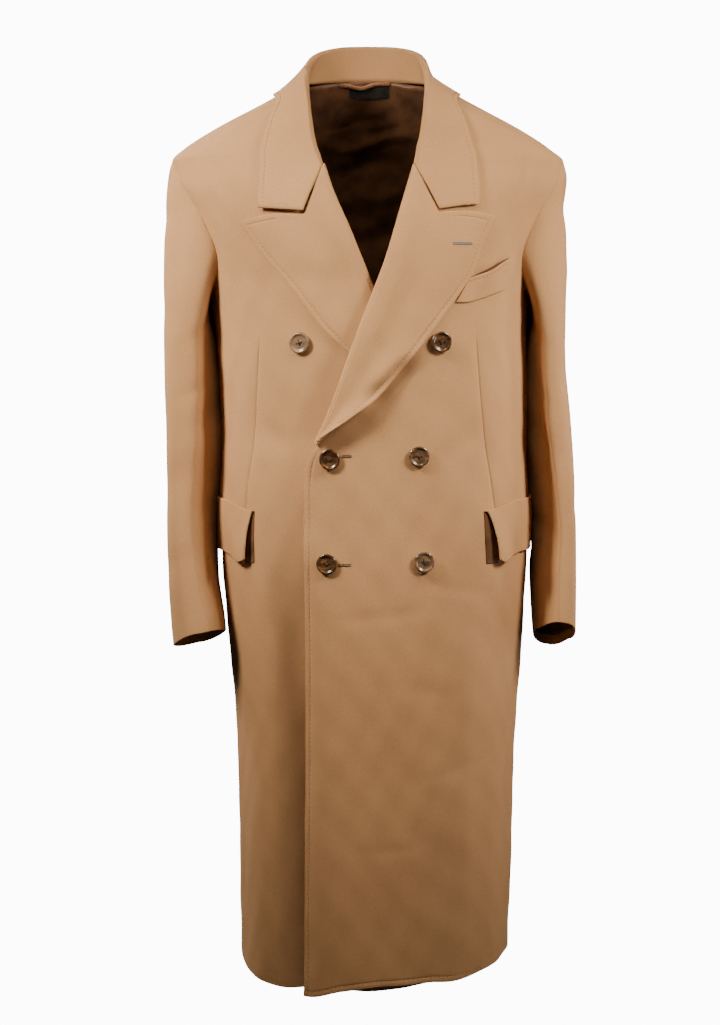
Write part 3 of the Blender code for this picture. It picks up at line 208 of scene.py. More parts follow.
# Smaller creases: turn and height of the middle, length, half the width, depth (minus is a trough),
# and how far the crease leans from upright, in degrees.
CREASES = rows_of("""
    -27 -.78 .3 .01 -.0016 2 | -40 -.9 .42 .012 .0014 -1 | -46 -.9 .56 .016 .003 0
    8 -1.02 .34 .026 -.0022 3 | 5.6 -.392 .08 .01 -.008 45 | 39.5 -.246 .075 .011 -.0032 15
    5 -1.01 .07 .007 -.0005 88 | 36 -.905 .11 .009 -.0005 80 | 22 -.8 .13 .01 -.0004 97
    2 -.7 .11 .009 -.0007 84 | 30 -.665 .1 .008 -.0007 101 | 38 -.9 .42 .022 .0018 -2
    -4 -.76 .24 .022 .001 4 | 60 -.3 .12 .009 -.0018 4 | 52 -.12 .07 .008 -.0014 12
    -50 -.115 .08 .012 -.0012 -16 | -58 -.17 .09 .012 .001 -6 | 33 -.475 .11 .014 -.0008 58
    -38 -.47 .12 .014 -.0008 -62 | 64 -.42 .13 .01 -.0014 -10 | -66 -.43 .12 .01 -.0014 10
    92 -.34 .26 .04 .003 0 | -92 -.34 .26 .04 .003 0 | 112 -.33 .13 .012 -.0034 24
    -111 -.34 .12 .012 -.0034 -26 | 124 -.42 .17 .015 -.0032 38 | -126 -.41 .18 .015 -.0032 -34
    136 -.33 .15 .013 .0024 30 | -139 -.32 .16 .013 .0024 -28 | 172 -.11 .11 .013 -.002 4
    -166 -.18 .13 .015 .0018 -8 | 156 -.52 .2 .016 -.003 18 | -158 -.56 .21 .016 -.0028 -14
    131 -.93 .46 .016 -.004 3 | -133 -.88 .43 .016 -.0042 -3 | 156 -.99 .44 .018 .0034 -2
    -157 -1.01 .42 .016 .0034 2 | 168 -.86 .38 .012 -.0028 1 | -170 -.93 .36 .012 -.0026 -2
    104 -.86 .48 .014 -.0036 2 | -103 -.9 .46 .014 -.0036 -2 | 116 -1 .38 .012 .0026 -1
    -117 -.98 .4 .012 .0026 2""", 6)
CREASE_METRES = 0.0034     # metres of cloth for each degree of turn, near enough for a crease
RIPPLE = 0.00022
# The valley of the under front beside the over front's edge, in degrees of turn and metres.
VALLEY_TURN = -24.5
VALLEY_WIDTH = 12.5
VALLEY_DEPTH = 0.0290
VALLEY_HEIGHTS = (-0.50, -0.95)     # the valley starts at the first and is whole at the second
UNDER_TURNS = (-74.0, -34.0)        # the under front likewise runs in between these turns
UNDER_DEPTH = Table("height depth", """
    -1.21 .0165 | -1 .0115 | -.75 .008 | -.56 .0065 | -.5 .009 | -.46 .014 | -.265 .014
    -.23 .0105 | -.16 .0025 | -.12 0""")
OVER_EDGE = Table("height x", """
    -1.23 -.0926 | -1.12 -.092 | -.94 -.09 | -.7 -.0882 | -.5461 -.088 | -.5072 -.085
    -.485 -.079""")
UNDER_EDGE_X = 0.0960
ROLLS = {
    1: Table("height x", """
    -.4725 -.0748 | -.4379 -.0586 | -.3509 -.0268 | -.2675 .0052 | -.2315 .0188 | -.1694 .0372
    -.1069 .0557"""),
    -1: Table("height x", """
    -.42 .0715 | -.35 .041 | -.2674 .0052 | -.2296 -.0108 | -.1922 -.026 | -.1402 -.0487
    -.106 -.06"""),
}
# The lapels' and welt's outlines: x and height of each point.
LAPEL_TOPS = {
    1: rows_of(".0557 -.1069 | .0893 -.1716 | .125 -.17 | .1635 -.1758", 2),
    -1: rows_of("-.06 -.106 | -.0872 -.1735 | -.13 -.173 | -.1739 -.1825", 2),
}
LAPEL_EDGES = {
    1: rows_of("""
    .1635 -.1758 | .1473 -.2133 | .1323 -.254 | .1168 -.2766 | .0921 -.3102 | .0656 -.3456
    .03 -.388 | .0052 -.416 | -.0197 -.436 | -.0452 -.454 | -.064 -.466""", 2),
    -1: rows_of("""
    -.1739 -.1825 | -.1452 -.2251 | -.1107 -.2652 | -.0887 -.2932 | -.0685 -.319 | -.0489 -.3389
    -.0288 -.3558 | .008 -.38 | .04 -.403 | .059 -.415""", 2),
}
LAPEL_LIFT = {1: 0.0120, -1: 0.0}       # the left lapel's lower end stands off the front
WELT_LOWER = rows_of(".1104 -.2892 | .1264 -.2891 | .144 -.2844 | .1674 -.2756 | .1758 -.2722", 2)
WELT_UPPER = rows_of(".1304 -.2568 | .1439 -.2521 | .1575 -.2463 | .1713 -.2373 | .1839 -.2292", 2)
NOTCH_GAP = 0.0030
COLLAR_TIPS = {1: (0.1417, -0.1601), -1: (-0.1468, -0.1657)}
COLLAR = Table(
    "share seam_turn seam_height crest_left crest_right crest_y crest_z edge_turn edge_height", """
    0 180 .0235 0 0 .072 .068 180 -.004 | .14 160 .0228 .029 .027 .069 .0672 161 -.0045
    .27 139 .0208 .055 .05 .06 .0633 141 -.006 | .4 116 .017 .0728 .07 .042 .0538 116 -.006
    .53 90 .0126 .0785 .079 .013 .0335 80 -.0108 | .64 55 0 .0778 .078 -.02 .006 57 -.0195
    .76 36 -.02 .0758 .0758 -.047 -.024 40 -.05 | .88 22 -.06 .07 .07 -.079 -.064 32.3 -.1
    1 13.3 -.1112 .0589 .0602 -.1003 -.1065 34.8 -.162""")
COLLAR_TUCK = 0.0035
COLLAR_AIR = 0.0010
FALL_HOLLOW = {1: -0.0090, -1: -0.0020}
GORGE_BLEND = 0.70
GORGE_LAST = 0.906         # from here the fall's end settles on the panel
SLEEVE = Table("height far_left near_left turned_left far_right near_right turned_right middle_y "
               "half_depth", """
    -.345 .2655 .2135 -3 .2815 .2085 -2 0 .075 | -.4 .269 .2142 -4 .2805 .2045 -4 -.0025 .0735
    -.46 .2742 .215 -6 .2783 .203 -6 -.0065 .071 | -.53 .2778 .2215 -9 .2772 .209 -8 -.013 .0685
    -.6 .2792 .2242 -12 .2768 .2132 -6 -.022 .066 | -.66 .2795 .222 -12 .2757 .2095 -2 -.0305 .064
    -.72 .279 .224 -10 .2732 .1985 3 -.0395 .062 | -.77 .278 .2285 -8 .269 .1935 5 -.046 .061""")
SLEEVE_TOP = -0.3450
SLEEVE_POWER = 0.78
SLEEVE_SEAM_ANGLE = 108.0
SLEEVE_HALF_GIRTH = 0.19
SLEEVE_CAP_PUSH = (0.075, 0.016)    # how firmly a cap leaves its armhole, at the top and underarm,
SLEEVE_CAP_PULL = (0.170, 0.050)    # and how firmly it turns down into the arm
# The sleeves' folds and creases: side, angle, height, reach in degrees and in height, depth, slope.
SLEEVE_FOLDS = rows_of("""
    1 0 -.118 48 .015 .0022 0 | 1 0 -.166 52 .02 -.0042 .012 | -1 30 -.172 40 .018 -.0022 .02
    1 150 -.47 55 .022 -.003 .03 | 1 60 -.39 45 .026 -.002 -.035 | -1 150 -.445 55 .022 -.003 .03
    -1 80 -.52 50 .026 -.0022 .04 | 1 290 -.515 50 .024 -.003 -.04
    -1 285 -.5 50 .024 -.003 -.035 | 1 270 -.34 45 .03 -.0026 .04
    -1 270 -.355 45 .03 -.0026 .045 | 1 150 -.43 26 .15 -.008 0 | -1 150 -.43 26 .15 -.01 0
    1 205 -.47 40 .11 .006 0 | 1 143 -.57 24 .12 -.007 0 | -1 205 -.49 40 .11 .01 0
    1 130 -.33 30 .012 -.0018 .05 | 1 118 -.415 34 .01 -.0014 .036 | 1 40 -.56 40 .016 -.0012 -.03
    1 20 -.245 36 .018 .0012 -.02 | 1 170 -.59 42 .014 -.0014 .02 | 1 330 -.43 34 .014 -.003 -.04
    1 318 -.472 36 .012 .0022 -.046 | 1 300 -.37 38 .013 -.0028 .044
    1 262 -.455 40 .013 -.003 -.03 | 1 240 -.575 42 .014 -.003 .03
    1 240 -.63 42 .014 -.0026 -.02 | -1 128 -.32 30 .012 -.0018 .05 | -1 116 -.4 34 .01 -.0014 .04
    -1 30 -.3 44 .018 -.0012 -.024 | -1 60 -.64 42 .016 -.0014 .024
    -1 175 -.56 40 .014 -.0014 .02 | -1 325 -.42 34 .014 -.003 -.04
    -1 312 -.462 36 .012 .0022 -.044 | -1 296 -.36 38 .013 -.0028 .046
    -1 258 -.44 40 .013 -.003 -.034 | -1 238 -.56 42 .014 -.003 .028
    -1 245 -.61 42 .014 -.0026 -.02""", 7)
CUFF = {1: (-0.7400, 0.0240, 108.0), -1: (-0.7460, 0.0180, 125.0)}   # height, tilt, highest angle
CAP_LIFT = {1: 16.0, -1: 40.0}
LINING_TOP = 0.110
LINING_INSET = 0.014
# name, x, height, how light its horn is: partly the horn's own tone, partly a painted reflection on
# the palest button
BUTTONS = (
    ("button_top_left", 0.0916, -0.3406, 0.30), ("button_top_right", -0.0971, -0.3419, 0.95),
    ("button_middle_left", 0.0631, -0.4899, 0.55), ("button_middle_right", -0.0529, -0.4938, 0.15),
    ("button_bottom_left", 0.0698, -0.6283, 0.75), ("button_bottom_right", -0.0569, -0.6309, 0.25),
)
# The front darts' turns.
DARTS = Table("height left right", """
    -.564 49 -55.4 | -.555 48.5 -55.2 | -.4979 45.7 -53.3 | -.417 42.6 -51.1 | -.3264 40.8 -47.1""")
DART_TOP = DARTS.keys[-1]
# Each sheet: slot; its cut across, down and flat area, in metres, with seam and hem allowances; how
# it is held; what it rests on.
# The flap linings' dark satin beside each flap is partly a painted shadow of the flap's raised
# edge.
# The pocket mouth is a dark sheet that is partly the pocket's inside and partly painted shade above
# the welt.
SHEETS = {name: rest for name, *rest in map(str.split, """
    front_left wool .44 1.26 .44 hung
    front_right wool .43 1.26 .43 hung
    back_left wool .34 1.27 .345 hung
    back_right wool .34 1.27 .345 hung
    lapel_left wool .155 .4 .041 folded front_left
    lapel_right wool .15 .37 .035 folded front_right
    collar wool .62 .15 .07 folded front_left front_right back_left back_right
    top_sleeve_left wool .225 .69 .12 hung
    top_sleeve_right wool .24 .7 .134 hung
    under_sleeve_left wool .16 .56 .071 hung
    under_sleeve_right wool .17 .57 .074 hung
    pocket_flap_left wool .18 .084 .0125 hung front_left
    pocket_flap_right wool .18 .084 .0128 hung front_right
    chest_welt wool .084 .044 .003 hung front_left
    back_lining lining .52 .42 .186 hung back_left back_right
    sleeve_lining_left lining .275 .108 .027 hung top_sleeve_left
    sleeve_lining_right lining .3 .108 .03 hung top_sleeve_right
    neck_label label .064 .018 .001 stretched back_lining
    hanger_loop loop .084 .01 .0006 gathered back_lining
    flap_lining_left lining .03 .072 .0016 laid front_left
    flap_lining_right lining .024 .072 .0011 laid front_right
    pocket_mouth lining .064 .013 .0006 laid front_left""".strip().splitlines())}
# The left top sleeve's solid is in two lengths, which one sheet covers.
LENGTHS = {"top_sleeve_left": ("top_sleeve_left", "top_sleeve_left_lower")}


# ---- The body's surface
def torso(turn, height):
    turn, height = np.broadcast_arrays(np.asarray(turn, float), np.asarray(height, float))
    centre, half_width, front, back, power = TORSO.at(height, "centre half_width front back power")
    facing = np.cos(np.radians(turn))
    depth = np.where(facing >= 0, -front, back) * np.abs(facing) ** power
    return np.stack((centre + half_width * np.sin(np.radians(turn)), depth, height), axis=-1)


def torso_normal(turn, height):
    across = torso(turn + 0.5, height) - torso(turn - 0.5, height)
    up = torso(turn, height + 0.001) - torso(turn, height - 0.001)
    return unit(np.cross(across, up))


def relief(turn, height):
    """Height of the broad folds over the plain body."""
    total = 0.0
    for middle, top, bottom, width, depth, drift in FOLDS:
        share = (top - height) / (top - bottom)
        fade = soft_step(0, FOLD_END, top - height) * soft_step(0, FOLD_END, height - bottom)
        total = total + depth * fade * bell((turn - middle - drift * share) / width)
    return total


def crease_relief(turn, height):
    """Height of the small creases, which only the scene's cloth has."""
    total = 0.0
    for middle, level, length, width, depth, lean in CREASES:
        across, up = (turn - middle) * CREASE_METRES, height - level
        c, s = math.cos(math.radians(lean)), math.sin(math.radians(lean))
        away, along = (across * c - up * s) / width, (up * c + across * s) / (length / 2)
        total = total + depth * np.exp(-away * away - along ** 4)
    return total


def unevenness(turn, height):
    """The slight waviness of cloth that has been steamed and worn, a fraction of a millimetre."""
    return RIPPLE * (np.sin(height * 97 + turn * 0.33 + 1.3 * np.sin(turn * 0.11))
                     + np.sin(height * 58 - turn * 0.44 + 1.7 + np.sin(height * 21))
                     + 1.4 * np.sin(height * 31 + turn * 0.17 + 0.6))


def on_body(turn, height, out=0.0):
    """A point on the coat's outer face, moved out along the surface's own direction, and that."""
    normal = torso_normal(turn, height)
    level = relief(turn, height) + crease_relief(turn, height) + unevenness(turn, height) + out
    return torso(turn, height) + normal * np.asarray(level)[..., None], normal


def cloth(turn, height, out=0.0):
    return on_body(turn, height, out)[0]


def turn_at(x, height):
    centre, half_width = TORSO.at(height, "centre half_width")
    return np.degrees(np.arcsin(np.clip((x - centre) / half_width, -1.0, 1.0)))


def sink(side, turn, height):
    """How deep a front lies: the wearer's right one runs in under the left one."""
    if side > 0:
        return 0.0
    valley = VALLEY_DEPTH * bell((turn - VALLEY_TURN) / VALLEY_WIDTH)
    return (UNDER_DEPTH.at(height, "depth") * soft_step(*UNDER_TURNS, turn)
            + valley * soft_step(*VALLEY_HEIGHTS, height))


def turn_step(turn, height, distance):
    across = torso(turn + 0.5, height) - torso(turn - 0.5, height)
    return distance / np.maximum(np.linalg.norm(across, axis=-1), 1e-5)


def clear_of_torso(points, clearance, turn, height):
    """Moves points out until they are clear of the body, starting from nearby turns and heights."""
    best = np.linalg.norm(torso(turn, height) - points, axis=-1)
    turn_stride, height_stride, finest = 6.0, 0.008, 0.05
    while turn_stride > finest:
        for turn_way, height_way in ((1, 0), (-1, 0), (0, 1), (0, -1)) * 6:
            other_turn = turn + turn_way * turn_stride
            other_height = height + height_way * height_stride
            distance = np.linalg.norm(torso(other_turn, other_height) - points, axis=-1)
            nearer = distance < best
            best, turn, height = (np.where(nearer, *pair) for pair in (
                (distance, best), (other_turn, turn), (other_height, height)))
        turn_stride, height_stride = turn_stride / 2, height_stride / 2
    normal = torso_normal(turn, height)
    gap = ((points - torso(turn, height)) * normal).sum(-1) - relief(turn, height)
    return points + normal * np.maximum(clearance - gap, 0.0)[..., None]


# ---- Grids and shells
def evenly(low, high, cell, length):
    """Values between two ends, both left out, one for about each cell of a length."""
    count = max(int(round(length / cell)), 1)
    return [mix(low, high, i / count) for i in range(1, count)]


def stations(length, start, end, cell, mark=None):
    """Shares across each row: near columns at set distances from its two ends, even ones between,
    and a few close to a mark that runs down the grid. length and mark have a value for each row."""
    fit = np.minimum(1.0, 0.42 * length / max(start[-1] + end[-1], 1e-9))
    columns = [offset * fit / length for offset in start]
    tail = [1 - offset * fit / length for offset in reversed(end)]
    near = [] if mark is None else [
        mark + step / length for step in (*(-s for s in reversed(DART_STEPS)), 0.0, *DART_STEPS)]
    stops = [columns[-1], *near[:1], *near[-1:], tail[0]]
    for low, high, between in zip(stops[::2], stops[1::2], (near, [])):
        span = min(float(np.max((high - low) * length)), float(np.max(length)))
        columns += evenly(low, high, cell, span) + between
    return np.stack(np.broadcast_arrays(*columns, *tail), axis=-1)


def levels(low, high, start, end, cell, length):
    """Values from low to high, with set distances from both ends and even steps between."""
    per_metre = (high - low) / length
    first = [low + offset * per_metre for offset in start]
    last = [high - offset * per_metre for offset in reversed(end)]
    return np.array(first + evenly(first[-1], last[0], cell, length - start[-1] - end[-1]) + last)


def runs(grid):
    """Distances along the rows from their first and last point, and down the columns likewise."""
    found = []
    for axis in (1, 0):
        steps = np.linalg.norm(np.diff(grid, axis=axis), axis=-1)
        far = np.cumsum(np.insert(steps, 0, 0.0, axis=axis), axis=axis)
        found += [far, far.take([-1], axis) - far]
    return found


def grid_normals(grid):
    return unit(np.cross(np.gradient(grid, axis=1), np.gradient(grid, axis=0)))


def rounding(distance, radius):
    """How far a rounded border has turned in: 1 at its end and 0 from its radius on."""
    inside = np.clip(1 - distance / radius, 0.0, 1.0)
    return 1 - np.sqrt(1 - inside * inside)


def groove(distance):
    """The dent of a line of pick stitching, with the edge outside it pressed a little fuller."""
    full = soft_step(0.0, 0.003, distance) * (1 - soft_step(0.006, 0.0075, distance))
    return GROOVE_DEPTH * bell((distance - STITCH_INSET) / GROOVE_WIDTH) - EDGE_FULLNESS * full


def past_inset(distance):
    return soft_step(STITCH_INSET - 0.001, STITCH_INSET, distance)


def closed(index):
    return np.concatenate((index, index[:, :1]), axis=1)


def quads(index):
    return np.stack((index[:-1, :-1], index[:-1, 1:], index[1:, 1:], index[1:, :-1]),
                    axis=-1).reshape(-1, 4)


def add_mesh(name, points, faces, lengths=None):
    """A smooth mesh that faces out, with its lengths in metres as its UV map."""
    corners = points[faces].swapaxes(0, 1)
    if sum((corners[0] * np.cross(b, c)).sum() for b, c in zip(corners[1:-1], corners[2:])) < 0:
        faces = np.roll(faces[:, ::-1], 1, axis=1)
    mesh = bpy.data.meshes.new(name)
    mesh.vertices.add(len(points))
    mesh.vertices.foreach_set("co", points.astype(np.float32).ravel())
    mesh.loops.add(faces.size)
    mesh.loops.foreach_set("vertex_index", faces.astype(np.int32).ravel())
    mesh.polygons.add(len(faces))
    starts = np.arange(0, faces.size, faces.shape[1], dtype=np.int32)
    mesh.polygons.foreach_set("loop_start", starts)
    mesh.update(calc_edges=True)
    mesh.validate()
    if lengths is not None:
        order = np.empty(len(mesh.loops), dtype=np.int32)
        mesh.loops.foreach_get("vertex_index", order)
        mesh.uv_layers.new(name="lengths").data.foreach_set(
            "uv", lengths[order].astype(np.float32).ravel())
    mesh.shade_smooth()
    piece = bpy.data.objects.new(name + "_made", mesh)
    bpy.context.scene.collection.objects.link(piece)
    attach(piece, "root")
    return piece


def finish_sheet(piece, node, *used):
    """Gives a sheet its materials, by default the one its slot names, and hides its node's solids.
    """
    slot, across, down, area, held, *rests_on = SHEETS[node]
    for material in used or (slot,):
        piece.data.materials.append(materials[material])
    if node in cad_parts:
        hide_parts(*LENGTHS.get(node, (node,)))


def shell(name, face, normals, wall, radii, dent=0.0, lined=None, ring=False):
    """A sheet: a wall with rounded borders behind a grid of points. radii are those of the borders
    at the rows' first and last points and of the first and last row, or 0 where nothing is rounded.
    lined says which quads of the inner face are satin. Gives the outer face's points."""
    turned = np.zeros(face.shape[:2])
    for distance, radius in zip(runs(face), radii):
        if radius:
            turned = np.maximum(turned, rounding(distance, radius))
    outer = face - normals * (turned * wall / 2 + dent)[..., None]
    inner = face - normals * (wall - turned * wall / 2)[..., None]
    layer = turned.size
    index = np.arange(layer).reshape(turned.shape)
    if ring:
        index = closed(index)
        rims = [index[0], index[-1][::-1]]
    else:
        rims = [np.concatenate((index[0], index[1:, -1], index[-1, -2::-1], index[-2::-1, 0]))]
    front = quads(index)
    walls = [np.stack((rim[1:], rim[:-1], rim[:-1] + layer, rim[1:] + layer), axis=-1)
             for rim in rims]
    across, _, down, _ = runs(outer)
    lengths = np.stack((across, down), axis=-1).reshape(-1, 2)
    piece = add_mesh(name, np.concatenate((outer, inner)).reshape(-1, 3),
                     np.concatenate((front, front[:, (0, 3, 2, 1)] + layer, *walls)),
                     np.tile(lengths, (2, 1)))
    if lined is None:
        finish_sheet(piece, name)
    else:
        finish_sheet(piece, name, "wool", "lining")
        places = np.zeros(len(piece.data.polygons), dtype=np.int32)
        places[len(front):2 * len(front)] = lined[:-1, :-1].ravel()
        piece.data.polygons.foreach_set("material_index", places)
    return outer


# ---- Threads
def join_meshes(parts):
    starts = np.cumsum([0] + [len(points) for points, _ in parts])
    return (np.concatenate([points for points, _ in parts]),
            np.concatenate([faces + start for (_, faces), start in zip(parts, starts)]))


def tube_faces(rings, sides):
    """Quads round a tube's sides and across both its ends."""
    k = np.arange(sides // 2 - 1)
    cap = np.stack((k, k + 1, sides - 2 - k, sides - 1 - k), axis=-1)
    around = quads(closed(np.arange(rings * sides).reshape(rings, sides)))
    return np.concatenate((around, cap[:, ::-1], cap + (rings - 1) * sides))


def rings_round(spine, across, up, sides):
    """A tube of points round a line, from the radius vectors of each ring."""
    angle = np.arange(sides)[:, None] * (2 * math.pi / sides)
    rings = spine[:, None] + across[:, None] * np.cos(angle) + up[:, None] * np.sin(angle)
    return rings.reshape(-1, 3), tube_faces(len(spine), sides)


def tube(line, radius, sides=8):
    """A round thread through points, closed at both ends."""
    line = np.asarray(line, float)
    ways = unit(np.gradient(line, axis=0))
    normals = [unit(np.cross(ways[0], (0.3, 0.5, 0.8)))]
    for way in ways:
        normals.append(unit(normals[-1] - way * (normals[-1] * way).sum()))
    normals = np.array(normals[1:])
    return rings_round(line, normals * radius, np.cross(ways, normals) * radius, sides)


def line_inside(grid, border, inset):
    """Points that run a set distance inside one border of a grid, with normals that face out."""
    fields = runs(grid)[border], grid, grid_normals(grid)
    if border > 1:
        fields = [np.swapaxes(field, 0, 1) for field in fields]
    if border % 2:
        fields = [field[:, ::-1] for field in fields]
    points, ways = (np.array([[np.interp(inset, far, line[:, i]) for i in range(3)]
                              for far, line in zip(fields[0], field)]) for field in fields[1:])
    away = (points - (0.0, 0.02, 0.0)) * (1, 1, 0)
    return points, unit(ways) * np.where((ways * away).sum(-1) > 0, 1, -1)[:, None]


def stitch_mesh(lines):
    """Short threads along lines of points with normals, each a low rounded bar, as one mesh."""
    rng = np.random.default_rng(STITCH_SEED)
    share, wide = rows_of("-.5 .35 | -.38 .85 | 0 1 | .38 .85 | .5 .35", 2).T[..., None]
    sag = STITCH_LIFT - STITCH_RADIUS * 1.3 * (2 * share) ** 2
    parts = []
    for line, ways in lines:
        far = np.concatenate(([0.0], np.cumsum(np.linalg.norm(np.diff(line, axis=0), axis=1))))

        def read(field, at):
            return np.array([np.interp(at, far, field[:, i]) for i in range(3)])

        for at in np.arange(STITCH_PITCH * 0.6, far[-1] - STITCH_PITCH * 0.4, STITCH_PITCH):
            at += rng.uniform(-0.10, 0.10) * STITCH_PITCH
            long = STITCH_LENGTH * rng.uniform(0.82, 1.12)
            way = unit(read(ways, at))
            run = unit(read(line, at + 0.002) - read(line, at - 0.002))
            spine = read(line, at) + run * (share * long) + way * sag
            across, up = (axis * (STITCH_RADIUS * wide) for axis in (unit(np.cross(way, run)), way))
            parts.append(rings_round(spine, across, up, 6))
    return join_meshes(parts)


# ---- Body panels
HEM_LEVEL = -1.19
FRONT_LENGTHS = (0.91, 0.30)       # of a front below and beside its armhole,
BACK_LENGTHS = (0.905, 0.31)       # and of a back
SHORTEST_ROW = 0.004


def fill_rows(turn_in, height_in, turn_out, height_out, shares, column, follow):
    """Turns and heights between two ends of each row. Rows bend with the hem as far as follow says:
    1 at the hem and 0 on top."""
    a, b = turn_in[:, None], turn_out[:, None]
    turn, height = mix(a, b, shares), mix(height_in[:, None], height_out[:, None], shares)
    low, high = HEM.at(a, column), HEM.at(b, column)
    straight = low + (high - low) * (turn - a) / np.where(np.abs(b - a) > 1e-6, b - a, 1.0)
    return turn, height + (HEM.at(turn, column) - straight) * follow[:, None]


def row_shares(rows):
    """How far a row is up the skirt, from 0 to 1, and its number in the armhole."""
    return np.clip(rows / SKIRT_ROWS, 0, 1), np.clip(rows - SKIRT_ROWS, 0, ARMHOLE_ROWS)


def armhole_side(side, rows, seam, low, column):
    """Turns and heights of the rows' outer ends: up the side seam, then round the armhole."""
    skirt, upper = row_shares(rows)
    turn, height = ARMHOLE.at(180 * (1 - upper / ARMHOLE_ROWS), column + " height")
    below = rows <= SKIRT_ROWS
    return (np.where(below, seam, side * turn),
            np.where(below, mix(low, UNDERARM_HEIGHT, skirt), height))


def front_inner_edge(side, height):
    roll = ROLLS[side]
    edge = OVER_EDGE.at(height, "x") if side > 0 else UNDER_EDGE_X
    folded = roll.at(height, "x") + side * FOLD_RADIUS * 1.12
    top = roll.keys[0] - BREAK_DROP
    return turn_at(mix(edge, folded, soft_step(top - BREAK_LENGTH, top, height)), height)


def panel_rows(lengths, hem_steps):
    """Row numbers of the solids' grid, as fractions: the hem is 0, the armhole starts at 13."""
    skirt = levels(0.0, SKIRT_ROWS, hem_steps, (0.0,), CELL, lengths[0])
    armhole = levels(0.0, ARMHOLE_ROWS, (0.0,), SEWN, CELL, lengths[1])
    return np.concatenate((skirt, SKIRT_ROWS + armhole[1:]))


def row_lengths(turn_a, height_a, turn_b, height_b):
    line = np.linspace(0, 1, 24)
    points = torso(mix(turn_a[:, None], turn_b[:, None], line),
                   mix(height_a[:, None], height_b[:, None], line))
    return np.maximum(runs(points)[0][:, -1], SHORTEST_ROW)


def front_layout(side):
    """Turns and heights of a front's fine grid."""
    roll, column = ROLLS[side], "over" if side > 0 else "under"
    rows = panel_rows(FRONT_LENGTHS, STITCHED)
    skirt, upper = row_shares(rows)
    break_height = roll.keys[0] - BREAK_DROP
    hem_turn = front_inner_edge(side, HEM_LEVEL)
    marks = [*np.linspace(HEM.at(hem_turn, column), break_height - BREAK_LENGTH, 10),
             *np.linspace(break_height, FRONT_TOP, BREAK_ROWS)]
    height_in = np.where(rows <= SKIRT_ROWS, np.interp(rows, np.arange(14), marks),
                         mix(FRONT_TOP, roll.keys[-1], upper / GORGE_ROW))
    station = mix(1.0, SHOULDER_SHARE, np.clip((upper - GORGE_ROW) / GORGE_ROW, 0, 1))
    neck_turn, neck_height = COLLAR.at(station, "seam_turn seam_height")
    to_neck = soft_step(GORGE_ROW - 1, GORGE_ROW, upper)
    turn_in = mix(front_inner_edge(side, height_in), side * neck_turn, to_neck)
    height_in = np.where(upper >= GORGE_ROW, neck_height, mix(height_in, neck_height, to_neck))
    seam = side * (SIDE_SEAM_TURN - turn_step(SIDE_SEAM_TURN, UNDERARM_HEIGHT, PANEL_GAP))
    turn_out, height_out = armhole_side(side, rows, seam, HEM.at(seam, column), "front")
    gap = turn_step(SHOULDER_TURN, NECK_POINT_HEIGHT, PANEL_GAP)
    top = rows > SKIRT_ROWS + ARMHOLE_ROWS - 1e-6
    turn_in, turn_out = (np.where(top, t - side * gap, t) for t in (turn_in, turn_out))
    share, span = 0.5, turn_out - turn_in
    span = np.where(np.abs(span) > 1e-6, span, 1.0)
    for _ in range(4):
        share = (DARTS.at(mix(height_in, height_out, share), SIDES[side]) - turn_in) / span
        share = np.clip(share, 0.05, 0.95)
    settled = share[np.argmin(np.abs(height_in - FRONT_TOP))]
    share = mix(share, settled, soft_step(FRONT_TOP, -0.20, height_in))
    ends = turn_in, height_in, turn_out, height_out
    shares = stations(row_lengths(*ends), STITCHED if side > 0 else SEWN, SEWN, CELL, share)
    return fill_rows(*ends, shares, column, 1 - skirt)


def dart_dent(turn, height, side):
    """The groove of a front's dart: sharp at its upper point, and lost under the pocket flap."""
    column = DARTS.at(height, SIDES[side])
    away = (turn - column) / turn_step(column, height, 1.0)
    fade = (1 - soft_step(DART_TOP - 0.030, DART_TOP, height)) * soft_step(-0.590, -0.578, height)
    hollow, width = DART_HOLLOW
    return (DART_DEPTH * bell(away / DART_WIDTH) + hollow * bell(away / width)) * fade


def make_front(side):
    turn, height = front_layout(side)
    face, normals = on_body(turn, height, -sink(side, turn, height))
    far_start, _, far_hem, _ = runs(face)
    dent = dart_dent(turn, height, side)
    if side > 0:
        low = ROLLS[side].keys[0]
        dent += groove(far_start) * (1 - soft_step(low - 0.03, low, height))
        dent += groove(far_hem) * (1 - soft_step(0.20, 0.26, far_start)) + mouth_dent(turn, height)
    return shell("front_" + SIDES[side], face, normals, CLOTH, FRONT_RADII, dent,
                 (far_start > FRONT_FACING) & (far_hem > HEM_TURN_UP))


def back_grid(side, rows, shares=None, sewn=1):
    """Turns and heights of half the back: of a panel, or with sewn 0 of the lining, which has no
    seams and ends above the hem."""
    skirt, upper = row_shares(rows)
    gap = sewn * PANEL_GAP / 2
    height_in = np.where(rows <= SKIRT_ROWS, mix(HEM.at(180.0, "over"), BACK_TOP, skirt),
                         mix(BACK_TOP, BACK_NECK_HEIGHT, upper / ARMHOLE_ROWS * BACK_RISE))
    low = HEM.at(side * SIDE_SEAM_TURN, "over")
    gaps = turn_step(SIDE_SEAM_TURN, mix(low, UNDERARM_HEIGHT, skirt), gap)
    ends = (side * (180.0 - turn_step(180.0, height_in, gap)), height_in,
            *armhole_side(side, rows, side * (SIDE_SEAM_TURN + gaps), low, "back"))
    if shares is None:
        shares = stations(row_lengths(*ends), SEWN, SEWN, CELL)
    turn, height = fill_rows(*ends, shares, "over", sewn * (1 - skirt))
    to_top = np.clip(upper - (ARMHOLE_ROWS - 1), 0, 1)[:, None]
    neck_turn, neck_height = neck_and_shoulder(side, shares)
    return mix(turn, neck_turn, to_top), mix(height, neck_height, to_top)


